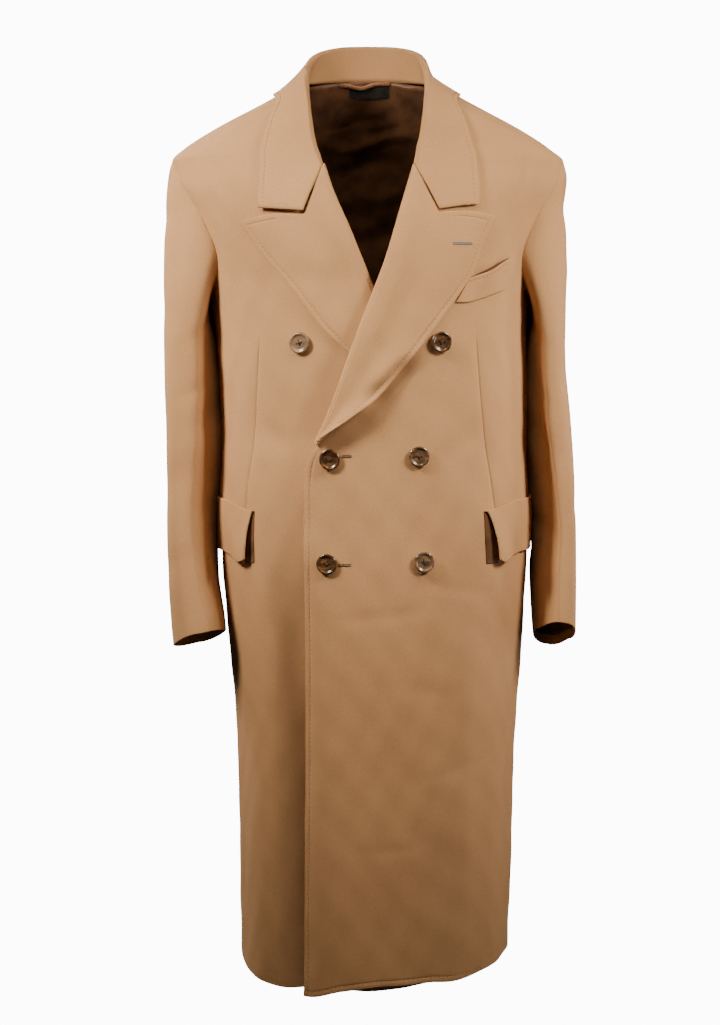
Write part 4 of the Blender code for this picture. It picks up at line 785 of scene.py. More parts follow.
def neck_and_shoulder(side, share):
    """The back's top edge: round the neck from the centre back, then out along the shoulder."""
    column = share * BACK_COLUMNS
    out = np.clip((column - NECK_COLUMNS) / (BACK_COLUMNS - NECK_COLUMNS), 0, 1)
    turn, height = COLLAR.at(SHOULDER_SHARE * np.clip(column / NECK_COLUMNS, 0, 1),
                             "seam_turn seam_height")
    height = np.where(out > 0, mix(NECK_POINT_HEIGHT, SHOULDER_POINT_HEIGHT, out), height)
    gap = turn_step(turn, height, PANEL_GAP / 2)
    return side * (turn + np.where(column < 0.5, -gap, np.where(out > 0, gap, 0.0))), height


def make_back(side):
    face, normals = on_body(*back_grid(side, panel_rows(BACK_LENGTHS, ROUND)))
    shell("back_" + SIDES[side], face, normals, CLOTH, BACK_RADII,
          lined=runs(face)[2] > HEM_TURN_UP)


# ---- Lapels
LAPEL_LENGTH = 0.375
LAPEL_STITCHES_END = 0.05          # further from its edge a lapel has no stitching


def trace(points, share, corner=None):
    """Points at shares of the length of a line of (x, height) points, on a curve that runs smoothly
    through all of them but its corner."""
    points = np.array(points, float)
    steps = np.diff(points, axis=0)
    lengths = np.linalg.norm(steps, axis=1)
    far = np.concatenate(([0.0], np.cumsum(lengths))) / lengths.sum()
    ways = steps / lengths[:, None]
    leave, arrive = ways.copy(), ways.copy()
    for i in range(1, len(points) - 1):
        if i != corner:
            leave[i] = arrive[i - 1] = unit(ways[i - 1] * lengths[i] + ways[i] * lengths[i - 1])
    i = np.clip(np.searchsorted(far, share, side="right") - 1, 0, len(lengths) - 1)
    s, span = ((share - far[i]) / (far[i + 1] - far[i]))[..., None], lengths[i][..., None]
    return hermite(points[i], points[i + 1], leave[i] * span, arrive[i] * span, s)


def corner_share(points):
    lengths = np.linalg.norm(np.diff(np.array(points), axis=0), axis=1)
    return lengths[0] / lengths.sum()


def soft_roll(distance):
    height, place, width = ROLL_FULLNESS
    return height * bell((distance - place) / width)


def on_side(side, place, out):
    """Cloth at (x, height) places on a front, moved out from where that front lies."""
    turn, height = turn_at(place[..., 0], place[..., 1]), place[..., 1]
    return cloth(turn, height, out - sink(side, turn, height))


def lapel_grid(side):
    """A lapel's visible face: tucked inside, round the roll line and out over the panel."""
    roll, top, edge = ROLLS[side], LAPEL_TOPS[side], LAPEL_EDGES[side]
    high, low = roll.keys[-1], roll.keys[0]
    bottom = np.array(((roll.at(low, "x"), low), edge[-1]))
    v = levels(0.0, 1.0, STITCHED, ROUND, FINE_CELL, LAPEL_LENGTH)

    def roll_point(share):
        height = mix(high, low, share)
        return np.stack((roll.at(height, "x"), height), axis=-1)

    def patch(u, v):
        u, v = np.broadcast_arrays(u, v)
        t, b = trace(top, u, 1), trace(bottom, u)
        left, right = roll_point(v), trace(edge, v)
        u, v = u[..., None], v[..., None]
        flat = mix(mix(top[0], top[-1], u), mix(bottom[0], bottom[1], u), v)
        return mix(t, b, v) + mix(left, right, u) - flat

    first = roll_point(v)
    wide = np.linalg.norm(patch(np.ones_like(v), v) - first, axis=-1)
    start = np.minimum(FOLD_RADIUS / wide, 0.45)
    across = unit(patch(start, v) - first)
    run = unit(roll_point(np.minimum(v + 0.02, 1)) - roll_point(np.maximum(v - 0.02, 0)))
    square = np.stack((-run[:, 1], run[:, 0]), axis=-1) * side
    inward = unit(mix(across, square, soft_step(0.0, 0.25, v)[:, None]))
    angles = np.radians(np.arange(-90, 91, 15))
    fold = [(FOLD_RADIUS + TUCK * s, -FOLD_LOW) for s in (1.0, 0.55, 0.2)]
    fold += [(FOLD_RADIUS * (1 - math.cos(a)), FOLD_LEVEL + FOLD_RADIUS * math.sin(a))
             for a in angles]
    columns = [on_side(side, first + inward * along, out) for along, out in fold]
    notch = corner_share(top)
    middle = [mix(start, notch, s) for s in np.linspace(0, 1, 22)[1:]]
    tail = notch + (1 - notch) * stations(wide * (1 - notch), (0.0,), STITCHED, FINE_CELL)
    shares = np.concatenate((np.stack(middle, axis=-1), tail[:, 1:]), axis=1)
    lift = LAPEL_LIFT[side] * soft_step(0.45, 0.72, v)[:, None] * soft_step(0.35, 1.0, shares)
    flat = on_side(side, patch(shares, v[:, None]),
                   FOLD_HIGH + soft_roll(shares * wide[:, None]) + lift)
    return np.concatenate((np.stack(columns, axis=1), flat), axis=1), len(columns) + len(middle)


def facing_dent(grid, notch_column, far_edge, far_end, free):
    """The stitched groove along a facing's free edge and past its notch; free is 1 where the edge's
    line runs right to the end."""
    past_notch = np.arange(grid.shape[1])[None, :] >= notch_column - 1
    end_line = groove(far_end) * past_notch * past_inset(far_edge)
    edge_line = groove(far_edge) * np.maximum(past_inset(far_end), free * ~past_notch)
    return np.maximum(end_line, edge_line)


def make_lapel(side):
    face, notch_column = lapel_grid(side)
    _, far_edge, far_top, _ = runs(face)
    dent = facing_dent(face, notch_column, far_edge, far_top, 1)
    dent = dent * (far_edge < LAPEL_STITCHES_END)
    return shell("lapel_" + SIDES[side], face, -grid_normals(face) * side, FACING,
                 LAPEL_RADII, dent), notch_column


# ---- Collar
COLLAR_HALF_LENGTH = 0.355
FALL_COLUMN = 40                   # one of the columns that lie on the fall


def gorge_line(side):
    start, notch = LAPEL_TOPS[side][:2]
    down = unit(notch - start)
    away = np.array((-down[1], down[0])) * side * (SEAM_GAP * 2.5)
    return start + down * FOLD_RADIUS + away, notch + away + (0, NOTCH_GAP), COLLAR_TIPS[side]


def collar_sections(side, share):
    """The collar's face for one side: a row of points for each share of the way to the gorge."""
    turn, height, crest_x, crest_y, crest_z, edge_turn, edge_height = COLLAR.at(
        share, f"seam_turn seam_height crest_{SIDES[side]} crest_y crest_z edge_turn edge_height")
    turn, edge_turn = side * turn, side * edge_turn
    normal, seam = torso_normal(turn, height), torso(turn, height)
    crest = np.stack((side * crest_x + TORSO.at(height, "centre"), crest_y, crest_z), axis=-1)
    rise = unit(crest - seam - normal * FOLD_LEVEL)
    lean = (rise * normal).sum(-1, keepdims=True)
    outward, neckward = unit(normal - rise * lean), unit(rise - normal * lean)
    middle = crest - rise * FOLD_RADIUS
    bend = np.arccos(np.clip((rise * neckward).sum(-1, keepdims=True), -1, 1))
    corner = seam - normal * FOLD_LOW + neckward * (0.0006 + FACING * np.tan(bend / 2))
    tuck = seam - normal * FOLD_LOW - neckward * COLLAR_TUCK
    inside = middle - outward * FOLD_RADIUS
    columns = [mix(tuck, corner, s) for s in (0.0, 0.5, 0.9)]
    columns += [mix(corner, inside, s)
                for s in (0.03, 0.10, 0.22, 0.34, 0.46, 0.58, 0.70, 0.80, 0.90)]
    columns += [middle + rise * (FOLD_RADIUS * math.cos(a)) + outward * (FOLD_RADIUS * math.sin(a))
                for a in np.radians(np.arange(-90, 90, 15))]
    outside = middle + outward * FOLD_RADIUS
    edge = torso(edge_turn, edge_height) + torso_normal(edge_turn, edge_height) * FOLD_HIGH
    gorge = gorge_line(side)
    notch = corner_share(gorge)
    length = np.linalg.norm(edge - outside, axis=-1)
    first = [notch * s * np.ones_like(share) for s in np.linspace(0, 1, 26)]
    tail = notch + (1 - notch) * stations(length * (1 - notch), (0.0,), STITCHED, FINE_CELL)
    s = np.concatenate((np.stack(first, axis=-1), tail[:, 1:]), axis=1)
    over = (soft_step(0.15, 0.40, share) * (1 - soft_step(0.97, 1.0, share)))[:, None]
    bulge = mix(0.003, FALL_HOLLOW[side], over) * np.sin(math.pi * s)
    point = mix(outside[:, None], edge[:, None], s[..., None]) + outward[:, None] * bulge[..., None]
    clearance = FOLD_HIGH + COLLAR_AIR * over + (
        soft_roll(length[:, None] * s) * soft_step(0.80, 1.0, share)[:, None] * (s > 0))
    end = trace(gorge, s, 1)
    near_gorge = np.clip((share - GORGE_BLEND) / (1 - GORGE_BLEND), 0, 1)[:, None, None] ** 2
    point[..., (0, 2)] += (end - mix(gorge[0], np.array(gorge[-1]), s[..., None])) * near_gorge
    point = clear_of_torso(point, clearance, mix(turn[:, None], edge_turn[:, None], s),
                           mix(height[:, None], edge_height[:, None], s))
    settled = cloth(turn_at(end[..., 0], end[..., 1]), end[..., 1], clearance)
    settling = np.clip((share - GORGE_LAST) / (1 - GORGE_LAST), 0, 1)[:, None, None]
    point = mix(point, settled, settling)
    return np.concatenate((np.stack(columns, axis=1), point), axis=1), len(columns) + len(first)


def make_collar():
    half = levels(0.0, 1.0, (0.0,), STITCHED, FINE_CELL, COLLAR_HALF_LENGTH)
    (right, _), (left, notch_column) = (collar_sections(side, half) for side in (-1, 1))
    face = np.concatenate((right[::-1], left[1:]))
    normals = grid_normals(face)
    normals *= np.sign(normals[len(half), FALL_COLUMN, 1])       # it faces back behind the neck
    _, far_edge, far_first, far_last = runs(face)
    dent = facing_dent(face, notch_column, far_edge, np.minimum(far_first, far_last), 0)
    return shell("collar", face, normals, FACING, COLLAR_RADII, dent), notch_column


# ---- Sleeves
ARM_LENGTH = 0.395
CAP_LENGTHS = {"top": 0.235, "under": 0.110}
SEAM_RADIUS = 0.04                 # of the sleeve round its seams, near enough for their gap
LINING_AIR_IN_SLEEVE = 0.0018
PUCKER_DEPTH = 0.0007


def sleeve_section(side, angle, height):
    arm = SIDES[side]
    far, near, turned, middle_y, depth = SLEEVE.at(
        height, f"far_{arm} near_{arm} turned_{arm} middle_y half_depth")
    turned = np.radians(turned)
    power = 2 / (2 - SLEEVE_POWER)
    spare = ((far - near) / 2) ** power - np.abs(depth * np.sin(turned)) ** power
    out, ahead = (np.sign(reach) * np.abs(reach) ** SLEEVE_POWER
                  for reach in (np.cos(np.radians(angle)), np.sin(np.radians(angle))))
    out, ahead = out * (spare ** (1 / power) / np.cos(turned)), ahead * depth
    x = (far + near) / 2 + out * np.cos(turned) - ahead * np.sin(turned)
    y = middle_y - ahead * np.cos(turned) - out * np.sin(turned)
    return np.stack(np.broadcast_arrays(side * x, y, height), axis=-1)


def armhole_at(side, angle):
    """The armhole's turn and height at an angle right round it: 0 on top, 90 in front."""
    angle = angle % 360
    front, back, height = ARMHOLE.at(np.where(angle > 180, 360 - angle, angle), "front back height")
    return side * np.where(angle > 180, back, front), height


def sleeve_base(side, angle, share):
    """A sleeve without folds; share runs 0 to 1 over the cap and 1 to 2 down to the cuff."""
    angle, share = np.broadcast_arrays(angle, share)
    turn, height = armhole_at(side, angle)
    normal = torso_normal(turn, height)
    run = torso(*armhole_at(side, angle + 3)) - torso(*armhole_at(side, angle - 3))
    across = unit(np.cross(normal, run)) * side
    drop = (SHOULDER_POINT_HEIGHT - height) / (SHOULDER_POINT_HEIGHT - UNDERARM_HEIGHT)
    swing = np.radians(mix(CAP_LIFT[side], 90, soft_step(0.0, 0.62, drop)))[..., None]
    leave = across * np.cos(swing) + normal * np.sin(swing)
    start = cloth(turn, height) + leave * SLEEVE_GAP - across * SLEEVE_LAP
    end = sleeve_section(side, angle, SLEEVE_TOP * np.ones_like(share))
    push, pull = (mix(*ends, drop)[..., None] for ends in (SLEEVE_CAP_PUSH, SLEEVE_CAP_PULL))
    cap = hermite(start, end, leave * push, np.array((0, 0, -1.0)) * pull,
                  np.minimum(share, 1)[..., None])
    middle, tilt, highest = CUFF[side]
    cuff = middle + tilt * np.cos(np.radians(angle - highest))
    arm = sleeve_section(side, angle, mix(SLEEVE_TOP, cuff, np.maximum(share - 1, 0)))
    return np.where((share >= 1)[..., None], arm, cap)


def sleeve_face(side, angle, share, out=0.0):
    """Points and normals of a sleeve with its folds, moved out along the normals."""
    point = sleeve_base(side, angle, share)
    around = sleeve_base(side, angle + 2, share) - sleeve_base(side, angle - 2, share)
    low, high = np.maximum(share - 0.004, 0.0), np.minimum(share + 0.004, 2.0)
    down = sleeve_base(side, angle, high) - sleeve_base(side, angle, low)
    normal = unit(np.cross(around, down)) * side
    fold = 0.0
    for arm, middle, level, reach, tall, depth, slope in SLEEVE_FOLDS:
        if arm == side:
            away = (angle % 360 - middle + 180) % 360 - 180
            rise = (point[..., 2] - level - slope * away / 90) / tall
            fold = fold + depth * np.exp(-rise * rise - (away / reach) ** 2)
    return point + normal * (fold * soft_step(0.0, 0.12, share) + out)[..., None], normal


def make_sleeve(part, side, low, high):
    cap = levels(0.0, 1.0, SEWN, (0.0,), CELL, CAP_LENGTHS[part])
    arm = levels(1.0, 2.0, (0.0,), ROUND, CELL, ARM_LENGTH)
    share = np.concatenate((cap, arm[1:]))[:, None]
    gap = math.degrees(PANEL_GAP / 2 / SEAM_RADIUS)
    girth = (high - low) / 180 * SLEEVE_HALF_GIRTH
    angle = mix(low + gap, high - gap, stations(girth * np.ones(1), SEWN, SEWN, CELL))
    face, normals = sleeve_face(side, *np.broadcast_arrays(angle, share))
    shell(f"{part}_sleeve_{SIDES[side]}", face, normals, CLOTH, SLEEVE_RADII,
          lined=runs(face)[3] > LINING_INSET)


def make_sleeve_lining(side):
    length = SLEEVE_TOP - CUFF[side][0]
    share = levels(2 - LINING_INSET / length, 2 - LINING_TOP / length, ROUND, (0.0,), 0.003, 0.096)
    angle, share = np.broadcast_arrays(np.linspace(0, 360, 97)[None, :-1], share[:, None])
    pucker = PUCKER_DEPTH * np.sin(np.radians(angle * 9 + 40 * np.sin(share * 60)))
    pucker = pucker * soft_step(0.0, 0.02, (2 - share) * length - LINING_INSET) - PUCKER_DEPTH
    face, normals = sleeve_face(side, angle, share, pucker - CLOTH - LINING_AIR_IN_SLEEVE)
    shell("sleeve_lining_" + SIDES[side], face, normals, LINING, (0.0, 0.0, 0.0005, 0.0), ring=True)


# ---- Lining, loop and label at the neck
LINING_AIR = 0.0020
LINING_FIRST_ROW = 12
LINING_FACE = FOLD_LOW + 0.0008
LINING_EDGE = 10.0 / 11.0      # the lining stops one column short of the sleeve
# Soft folds of the satin below the neck: x, height, half the width across and up, and depth.
SATIN_FOLDS = rows_of("""
    0 -.02 .06 .0045 .0018 | -.03 -.033 .045 .004 -.0016 | .038 -.03 .035 .0045 .0016
    .056 .006 .02 .007 .0022 | -.052 -.005 .022 .009 .0016 | .004 -.06 .07 .008 .0022
    -.02 -.095 .05 .011 -.002 | .05 -.125 .06 .012 .0022 | -.06 -.15 .05 .012 .0018
    .01 -.19 .08 .014 -.002""", 5)
PUCKER = 1.7               # how much fuller the folds are than in the table
LABEL_WALL = 0.0008
LOOP_HALF_WIDTH = 0.0027
LOOP_HALF_DEPTH = 0.0012


def make_back_lining():
    last = SKIRT_ROWS + ARMHOLE_ROWS
    rows = levels(LINING_FIRST_ROW, last - 0.05, (0.0,), (0.0,), 0.0046, 0.40)
    shares = np.linspace(0, LINING_EDGE, 52)[None, :]
    turn, height = (np.concatenate((right[:, ::-1], left[:, 1:]), axis=1) for right, left in zip(
        back_grid(-1, rows, shares, 0), back_grid(1, rows, shares, 0)))
    turn = np.where(turn < 0, turn + 360, turn)
    column = np.concatenate((shares[:, ::-1], shares[:, 1:]), axis=1) * BACK_COLUMNS
    step = np.clip(rows - (last - 1), 0, 1)[:, None]
    near_neck = 1 - soft_step(NECK_COLUMNS - 1, NECK_COLUMNS + 2, column)
    near_neck = near_neck * soft_step(0, 0.6, step)
    out = -CLOTH - LINING_AIR - (LINING_FACE - CLOTH - LINING_AIR) * near_neck
    across = torso(turn, height)[..., 0]
    pucker = 0.0
    for x, level, wide, tall, depth in SATIN_FOLDS:
        rise = height - level - 0.010 * np.sin((across - x) * 40)
        pucker = pucker + PUCKER * depth * np.exp(-((across - x) / wide) ** 2 - (rise / tall) ** 2)
    fade = soft_step(0.0, 0.012, height[-1:] - height)
    face, normals = on_body(turn, height, out - LINING - (pucker + 0.0006) * fade)
    shell("back_lining", face, -normals, LINING, (0.0, 0.0, 0.0, 0.0005))


def make_neck_label():
    """A plain woven label: folded ends, a raised selvedge and nothing on it."""
    x, height = np.meshgrid(np.linspace(-0.030, 0.029, 60), np.linspace(0.0145, 0.0005, 18))
    u = np.linspace(0, 1, 60)[None, :]
    buckle = 0.0009 * np.sin(math.pi * u) + 0.0004 * np.sin(u * 9 + 1)
    ends = 0.0003 * (np.abs(u - 0.5) > 0.47)
    face, normals = on_body(180 - turn_at(x, height), height,
                            -(LINING_FACE + LINING + 0.0014) - buckle - ends)
    shell("neck_label", face, -normals, LABEL_WALL, (LABEL_WALL / 2,) * 4)


def make_hanger_loop():
    """A satin hanger loop, gathered on its cord, sewn down at both ends above the label."""
    u = np.linspace(0, 1, 220)[:, None]
    around = np.linspace(0, 2 * math.pi, 29)[None, :-1]
    height = mix(0.0160, 0.0205, u) - 0.0030 * np.sin(math.pi * u) + 0.0016 * np.sin(u * 11)
    gather = np.sin(u * 150 + 2.2 * np.sin(around + u * 9)) * np.sin(around * 0.5 + 1) ** 2
    gather = 1 + 0.20 * gather
    flat = 1 - 0.75 * (bell(u / 0.05) + bell((1 - u) / 0.05))
    centre, normal = on_body(180 - turn_at(mix(-0.046, 0.030, u), height), height,
                             -(LINING_FACE + LINING + 0.0012) - 0.0030 * np.sin(math.pi * u))
    up = np.cross(-normal, unit(np.gradient(centre, axis=0)))
    ring = (centre + up * (np.cos(around) * LOOP_HALF_WIDTH * gather)[..., None]
            - normal * (np.sin(around) * LOOP_HALF_DEPTH * gather * flat)[..., None])
    lengths = np.stack(np.broadcast_arrays(u * 0.09, around * 0.003), axis=-1).reshape(-1, 2)
    piece = add_mesh("hanger_loop_satin", ring.reshape(-1, 3), tube_faces(*ring.shape[:2]), lengths)
    finish_sheet(piece, "hanger_loop")


# ---- Pockets
HIP_FLAPS = {1: (42.5, -0.5636), -1: (-49.9, -0.5646)}      # turn and height of the front corner
FLAP_SWING = {1: 6.8, -1: 3.6}     # how far the lower corner swings out, in degrees
FLAP_BOW = 0.45            # a flap's front edge swings out fast below its corner, then hangs
SHADOW_WEDGE_END = {1: 2.0, -1: 1.1}      # degrees from the front corner to the dark satin's edge, at its foot; beside the flap this satin is partly a painted shadow
WEDGE_UNDER = 2.5          # how far the lining runs on under the flap
MOUTH_SHADE_RISE = 0.0030        # how far the dark sheet in the chest pocket's mouth, partly painted shade, shows above the welt
POCKETING = 0.0004
WELT_WALL = 0.0020
ON_PANEL = 0.0006          # how far things that are sewn on a front stand off it


def make_hip_flap(side):
    share = levels(0.0, 1.0, ROUND, ROUND, POCKET_CELL, 0.165)[None, :]
    down = levels(0.0, 1.0, SEWN, ROUND, POCKET_CELL, HIP_FLAP_HEIGHT)[:, None]
    first, top = HIP_FLAPS[side]
    turned = HIP_FLAP_TURNS * share + FLAP_SWING[side] * down ** FLAP_BOW * (1 - share)
    corners = 0.006 * (np.maximum(0, 1 - share * 9) ** 2 + np.maximum(0, share * 9 - 8) ** 2)
    height = top + 0.012 * soft_step(0, 0.45, share) - (HIP_FLAP_HEIGHT - corners) * down
    front_lift = 0.0065 * (1 - soft_step(0.0, 0.30, share))
    rise = FLAP_WALL + 0.0008 + (0.0012 + front_lift) * np.sin(down * math.pi / 2)
    wave = 0.0007 * np.sin(turned * 0.24) * soft_step(-0.59, -0.62, height)
    turn = first + side * turned
    face, normals = on_body(turn, height, rise + wave - sink(side, turn, height))
    shell("pocket_flap_" + SIDES[side], face, normals, FLAP_WALL, FLAP_RADII)


def make_flap_lining_and_shadow(side):
    """The dark satin beside a flap's front edge: partly the flap's lining, partly a painted shadow
    of the edge that stands off, shown as a dark wedge.
    """
    down = np.linspace(0.015, 1.0, 44)[:, None]
    first, top = HIP_FLAPS[side]
    last = FLAP_SWING[side] * down ** FLAP_BOW + WEDGE_UNDER
    turn = first + side * mix(SHADOW_WEDGE_END[side] * down, last, np.linspace(0, 1, 14)[None, :])
    height = top - HIP_FLAP_HEIGHT * down
    face, normals = on_body(turn, height, 0.0007 - sink(side, turn, height))
    shell("flap_lining_" + SIDES[side], face, normals, POCKETING, SHARP)


def mouth_dent(turn, height):
    """The hollow of the chest pocket's mouth behind the welt's upper edge."""
    x, lip = torso(turn, height)[..., 0], WELT_UPPER[:, 0]
    share = np.clip((x - lip[0]) / (lip[-1] - lip[0]), 0.02, 0.98)
    inside = (x > lip[0] - 0.02) * np.sin(math.pi * share)
    return 0.0030 * inside * bell((height - np.interp(x, *WELT_UPPER.T) + 0.002) / 0.005)


def make_pocket_mouth_shade():
    """Dark pocketing above the chest welt, where the pocket stands open: partly the pocket's
    inside, partly painted shade in the mouth's gap.
    """
    share = np.linspace(0.0, 1.0, 60)
    x, lip = trace(WELT_UPPER, share).T
    height = (lip + np.linspace(-0.0075, 0.0, 10)[:, None]
              + MOUTH_SHADE_RISE * np.sin(math.pi * share) ** 0.8)
    turn = turn_at(x, height)
    face, normals = on_body(turn, height, ON_PANEL - mouth_dent(turn, height))
    shell("pocket_mouth", face, normals, POCKETING, SHARP)


def make_chest_welt():
    share = levels(0.0, 1.0, ROUND, ROUND, WELT_CELL, 0.075)
    up = levels(0.0, 1.0, SEWN, STITCHED, WELT_CELL, 0.036)[:, None]
    x, height = (mix(low, high, up) for low, high in zip(trace(WELT_LOWER, share).T,
                                                         trace(WELT_UPPER, share).T))
    gape = 0.0035 * up * np.sin(math.pi * np.clip(share * 0.9 + 0.05, 0, 1))
    face, normals = on_body(turn_at(x, height), height, ON_PANEL + gape + WELT_WALL)
    return shell("chest_welt", face, normals, WELT_WALL, WELT_RADII, groove(runs(face)[3]) * 0.8)


# ---- Buttons
# The turned half section from the rim to the back, as shares of the radius and thickness.
BUTTON_FACE = rows_of("""
    .6 .6 | .66 .63 | .72 .74 | .77 .88 | .82 .97 | .87 1 | .92 .98 | .97 .88 | .995 .7 | 1 .52
    .985 .34 | .94 .18 | .86 .07 | .74 .01 | .62 0""", 2)
BUTTON_SIDES = 64
HOLE_SIDES = 16
HOLE_RADIUS = 0.00125
HOLE_PLACE = 0.00235       # each hole's distance from the middle, along both diagonals
THREAD_RADIUS = 0.00028
THREAD_APART = 0.000252    # half the distance between a loop's two strands
SHANK_TURNS = 4
SHANK_RADIUS = 0.0023
SHANK_THREAD = 0.0003
HOLES = [(x * HOLE_PLACE, y * HOLE_PLACE) for x in (-1, 1) for y in (-1, 1)]


def circle(radius, count, centre=(0.0, 0.0)):
    angles = [2 * math.pi * k / count for k in range(count)]
    return [(centre[0] + radius * math.cos(a), centre[1] + radius * math.sin(a)) for a in angles]


def button_mesh():
    """One button on its own axes, in triangles: a dished face with four holes and a turned rim."""
    inner = BUTTON_RADIUS * BUTTON_FACE[0, 0]
    rim, holes = circle(inner, BUTTON_SIDES), [circle(HOLE_RADIUS, HOLE_SIDES, c) for c in HOLES]
    flat = rim + circle(inner * 0.40 + 0.0008, 48) + circle(inner * 0.72 + 0.0008, 48)
    loops = [range(BUTTON_SIDES)]
    for hole in holes:
        loops.append(range(len(flat), len(flat) + HOLE_SIDES))
        flat = flat + hole
    edges = [(loop[i], loop[(i + 1) % len(loop)]) for loop in loops for i in range(len(loop))]
    made = geometry.delaunay_2d_cdt([Vector(p) for p in flat], edges, [], 0, 1e-7)
    spots, triangles = np.array(made[0]), np.array(made[2])
    middles = spots[triangles].mean(axis=1)
    hole_distances = np.linalg.norm(middles[:, None] - np.array(HOLES), axis=-1)
    kept = triangles[hole_distances.min(axis=1) > HOLE_RADIUS * 0.97]
    dish = BUTTON_THICKNESS * BUTTON_FACE[0, 1]
    bowl = 0.0002 * np.cos(math.pi / 2 * np.minimum(np.linalg.norm(spots, axis=1) / inner, 1))
    back = len(spots)
    points = [np.column_stack((spots, dish - bowl)), np.column_stack((spots, np.zeros(back)))]
    faces = [kept, kept[:, ::-1] + back]

    def join(low, high):
        after, above = np.roll(low, -1), np.roll(high, -1)
        faces.append(np.column_stack((low, after, above, low, above, high)).reshape(-1, 3))

    def nearest(ring):
        return np.linalg.norm(np.array(ring)[:, None] - spots, axis=-1).argmin(axis=1)

    for hole in holes:
        join(nearest(hole) + back, nearest(hole))
    previous, count = nearest(rim), 2 * back
    for radius, high in BUTTON_FACE[1:-1]:
        ring = circle(BUTTON_RADIUS * radius, BUTTON_SIDES)
        points.append(np.column_stack((ring, [BUTTON_THICKNESS * high] * BUTTON_SIDES)))
        join(previous, np.arange(count, count + BUTTON_SIDES))
        previous, count = np.arange(count, count + BUTTON_SIDES), count + BUTTON_SIDES
    join(previous, nearest(rim) + back)
    return np.concatenate(points), np.concatenate(faces)


def button_threads():
    """Two crossed loops of thread through the four holes, and the shank wound below."""
    parts = []
    top = BUTTON_THICKNESS * BUTTON_FACE[0, 1]
    s = np.linspace(-1, 1, 17)
    arch = top + 0.0004 + 0.0005 * (1 - s ** 2) - 0.0022 * np.maximum(np.abs(s) - 0.86, 0) / 0.14
    for strand in (-1, 0, 1):
        off = strand * THREAD_APART
        for way in (-1, 1):
            line = (HOLE_PLACE * s - off * way, HOLE_PLACE * s * way + off, arch + 0.0002 * way)
            parts.append(tube(np.stack(line, axis=-1), THREAD_RADIUS))
    share = np.linspace(0, 1, 90)
    a = share * 2 * math.pi * SHANK_TURNS
    line = (SHANK_RADIUS * np.cos(a), SHANK_RADIUS * np.sin(a), -0.0010 + share * 0.0009)
    return join_meshes(parts + [tube(np.stack(line, axis=-1), SHANK_THREAD)])


def make_buttons():
    body, faces = button_mesh()
    threads, thread_faces = button_threads()
    for name, x, height, light in BUTTONS:
        turn = turn_at(x, height)
        front = -1 if name == "button_top_right" else 1     # the other five sit on the left front
        seat, normal = on_body(turn, height, BUTTON_SHANK - sink(front, turn, height))
        right = unit(np.cross((0, 0, 1), normal))
        spin = 0.2 + light
        first = right * math.cos(spin) + np.cross(normal, right) * math.sin(spin)
        axes = np.stack((first, np.cross(normal, first), normal))
        horn = add_mesh(name + "_horn", body @ axes + seat, faces)
        horn.data.set_sharp_from_angle(angle=math.radians(40))
        horn.data.materials.append(horn_material(name, light))
        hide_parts(name)
        sewn = add_mesh(name + "_thread", threads @ axes + seat, thread_faces)
        sewn.data.materials.append(materials["thread_dark"])


# ---- Buttonholes and stitching
BUTTONHOLE_SLIT = 0.0011
BUTTONHOLE_PITCH = 0.0007
BUTTONHOLE_THREAD = 0.00033


def make_buttonhole(name, x_start, x_end, height, out, material):
    """A worked buttonhole: two rows of close stitches along a slit."""
    parts = []
    count = int((x_end - x_start) / BUTTONHOLE_PITCH)
    s = np.linspace(0, 1, 5)
    for i in range(count):
        x = mix(x_start, x_end, (i + 0.5) / count)
        for way in (-1, 1):
            rise = height + way * mix(0.1, 1.7, s) * BUTTONHOLE_SLIT
            line = cloth(turn_at(x, rise), rise, out + 0.0004 * np.sin(math.pi * s))
            parts.append(tube(line, BUTTONHOLE_THREAD, 6))
    add_mesh(name, *join_meshes(parts)).data.materials.append(materials[material])


def make_stitching(front, lapels, collar, welt):
    lines = []

    def sew(grid, border, keep, inset=STITCH_INSET):
        points, ways = line_inside(grid, border, inset)
        if callable(keep):
            keep = keep(points)
        lines.append((points[keep], ways[keep]))

    end = slice(2, -9)
    sew(front, 0, lambda points: points[:, 2] < ROLLS[1].keys[0] - 0.012)
    sew(front, 2, lambda points: points[:, 0] < 0.15)
    for outer, notch in lapels:
        sew(outer, 1, np.flatnonzero(runs(outer)[0][:, -1] > 0.050)[5:])
        sew(outer[:, notch + 1:], 2, end)
    outer, notch = collar
    sew(outer, 1, slice(10, -10))
    sew(outer[:, notch + 1:], 2, end)
    sew(outer[:, notch + 1:], 3, end)
    sew(welt, 3, slice(3, -3), STITCH_INSET * 0.9)
    add_mesh("pick_stitches", *stitch_mesh(lines)).data.materials.append(materials["thread"])


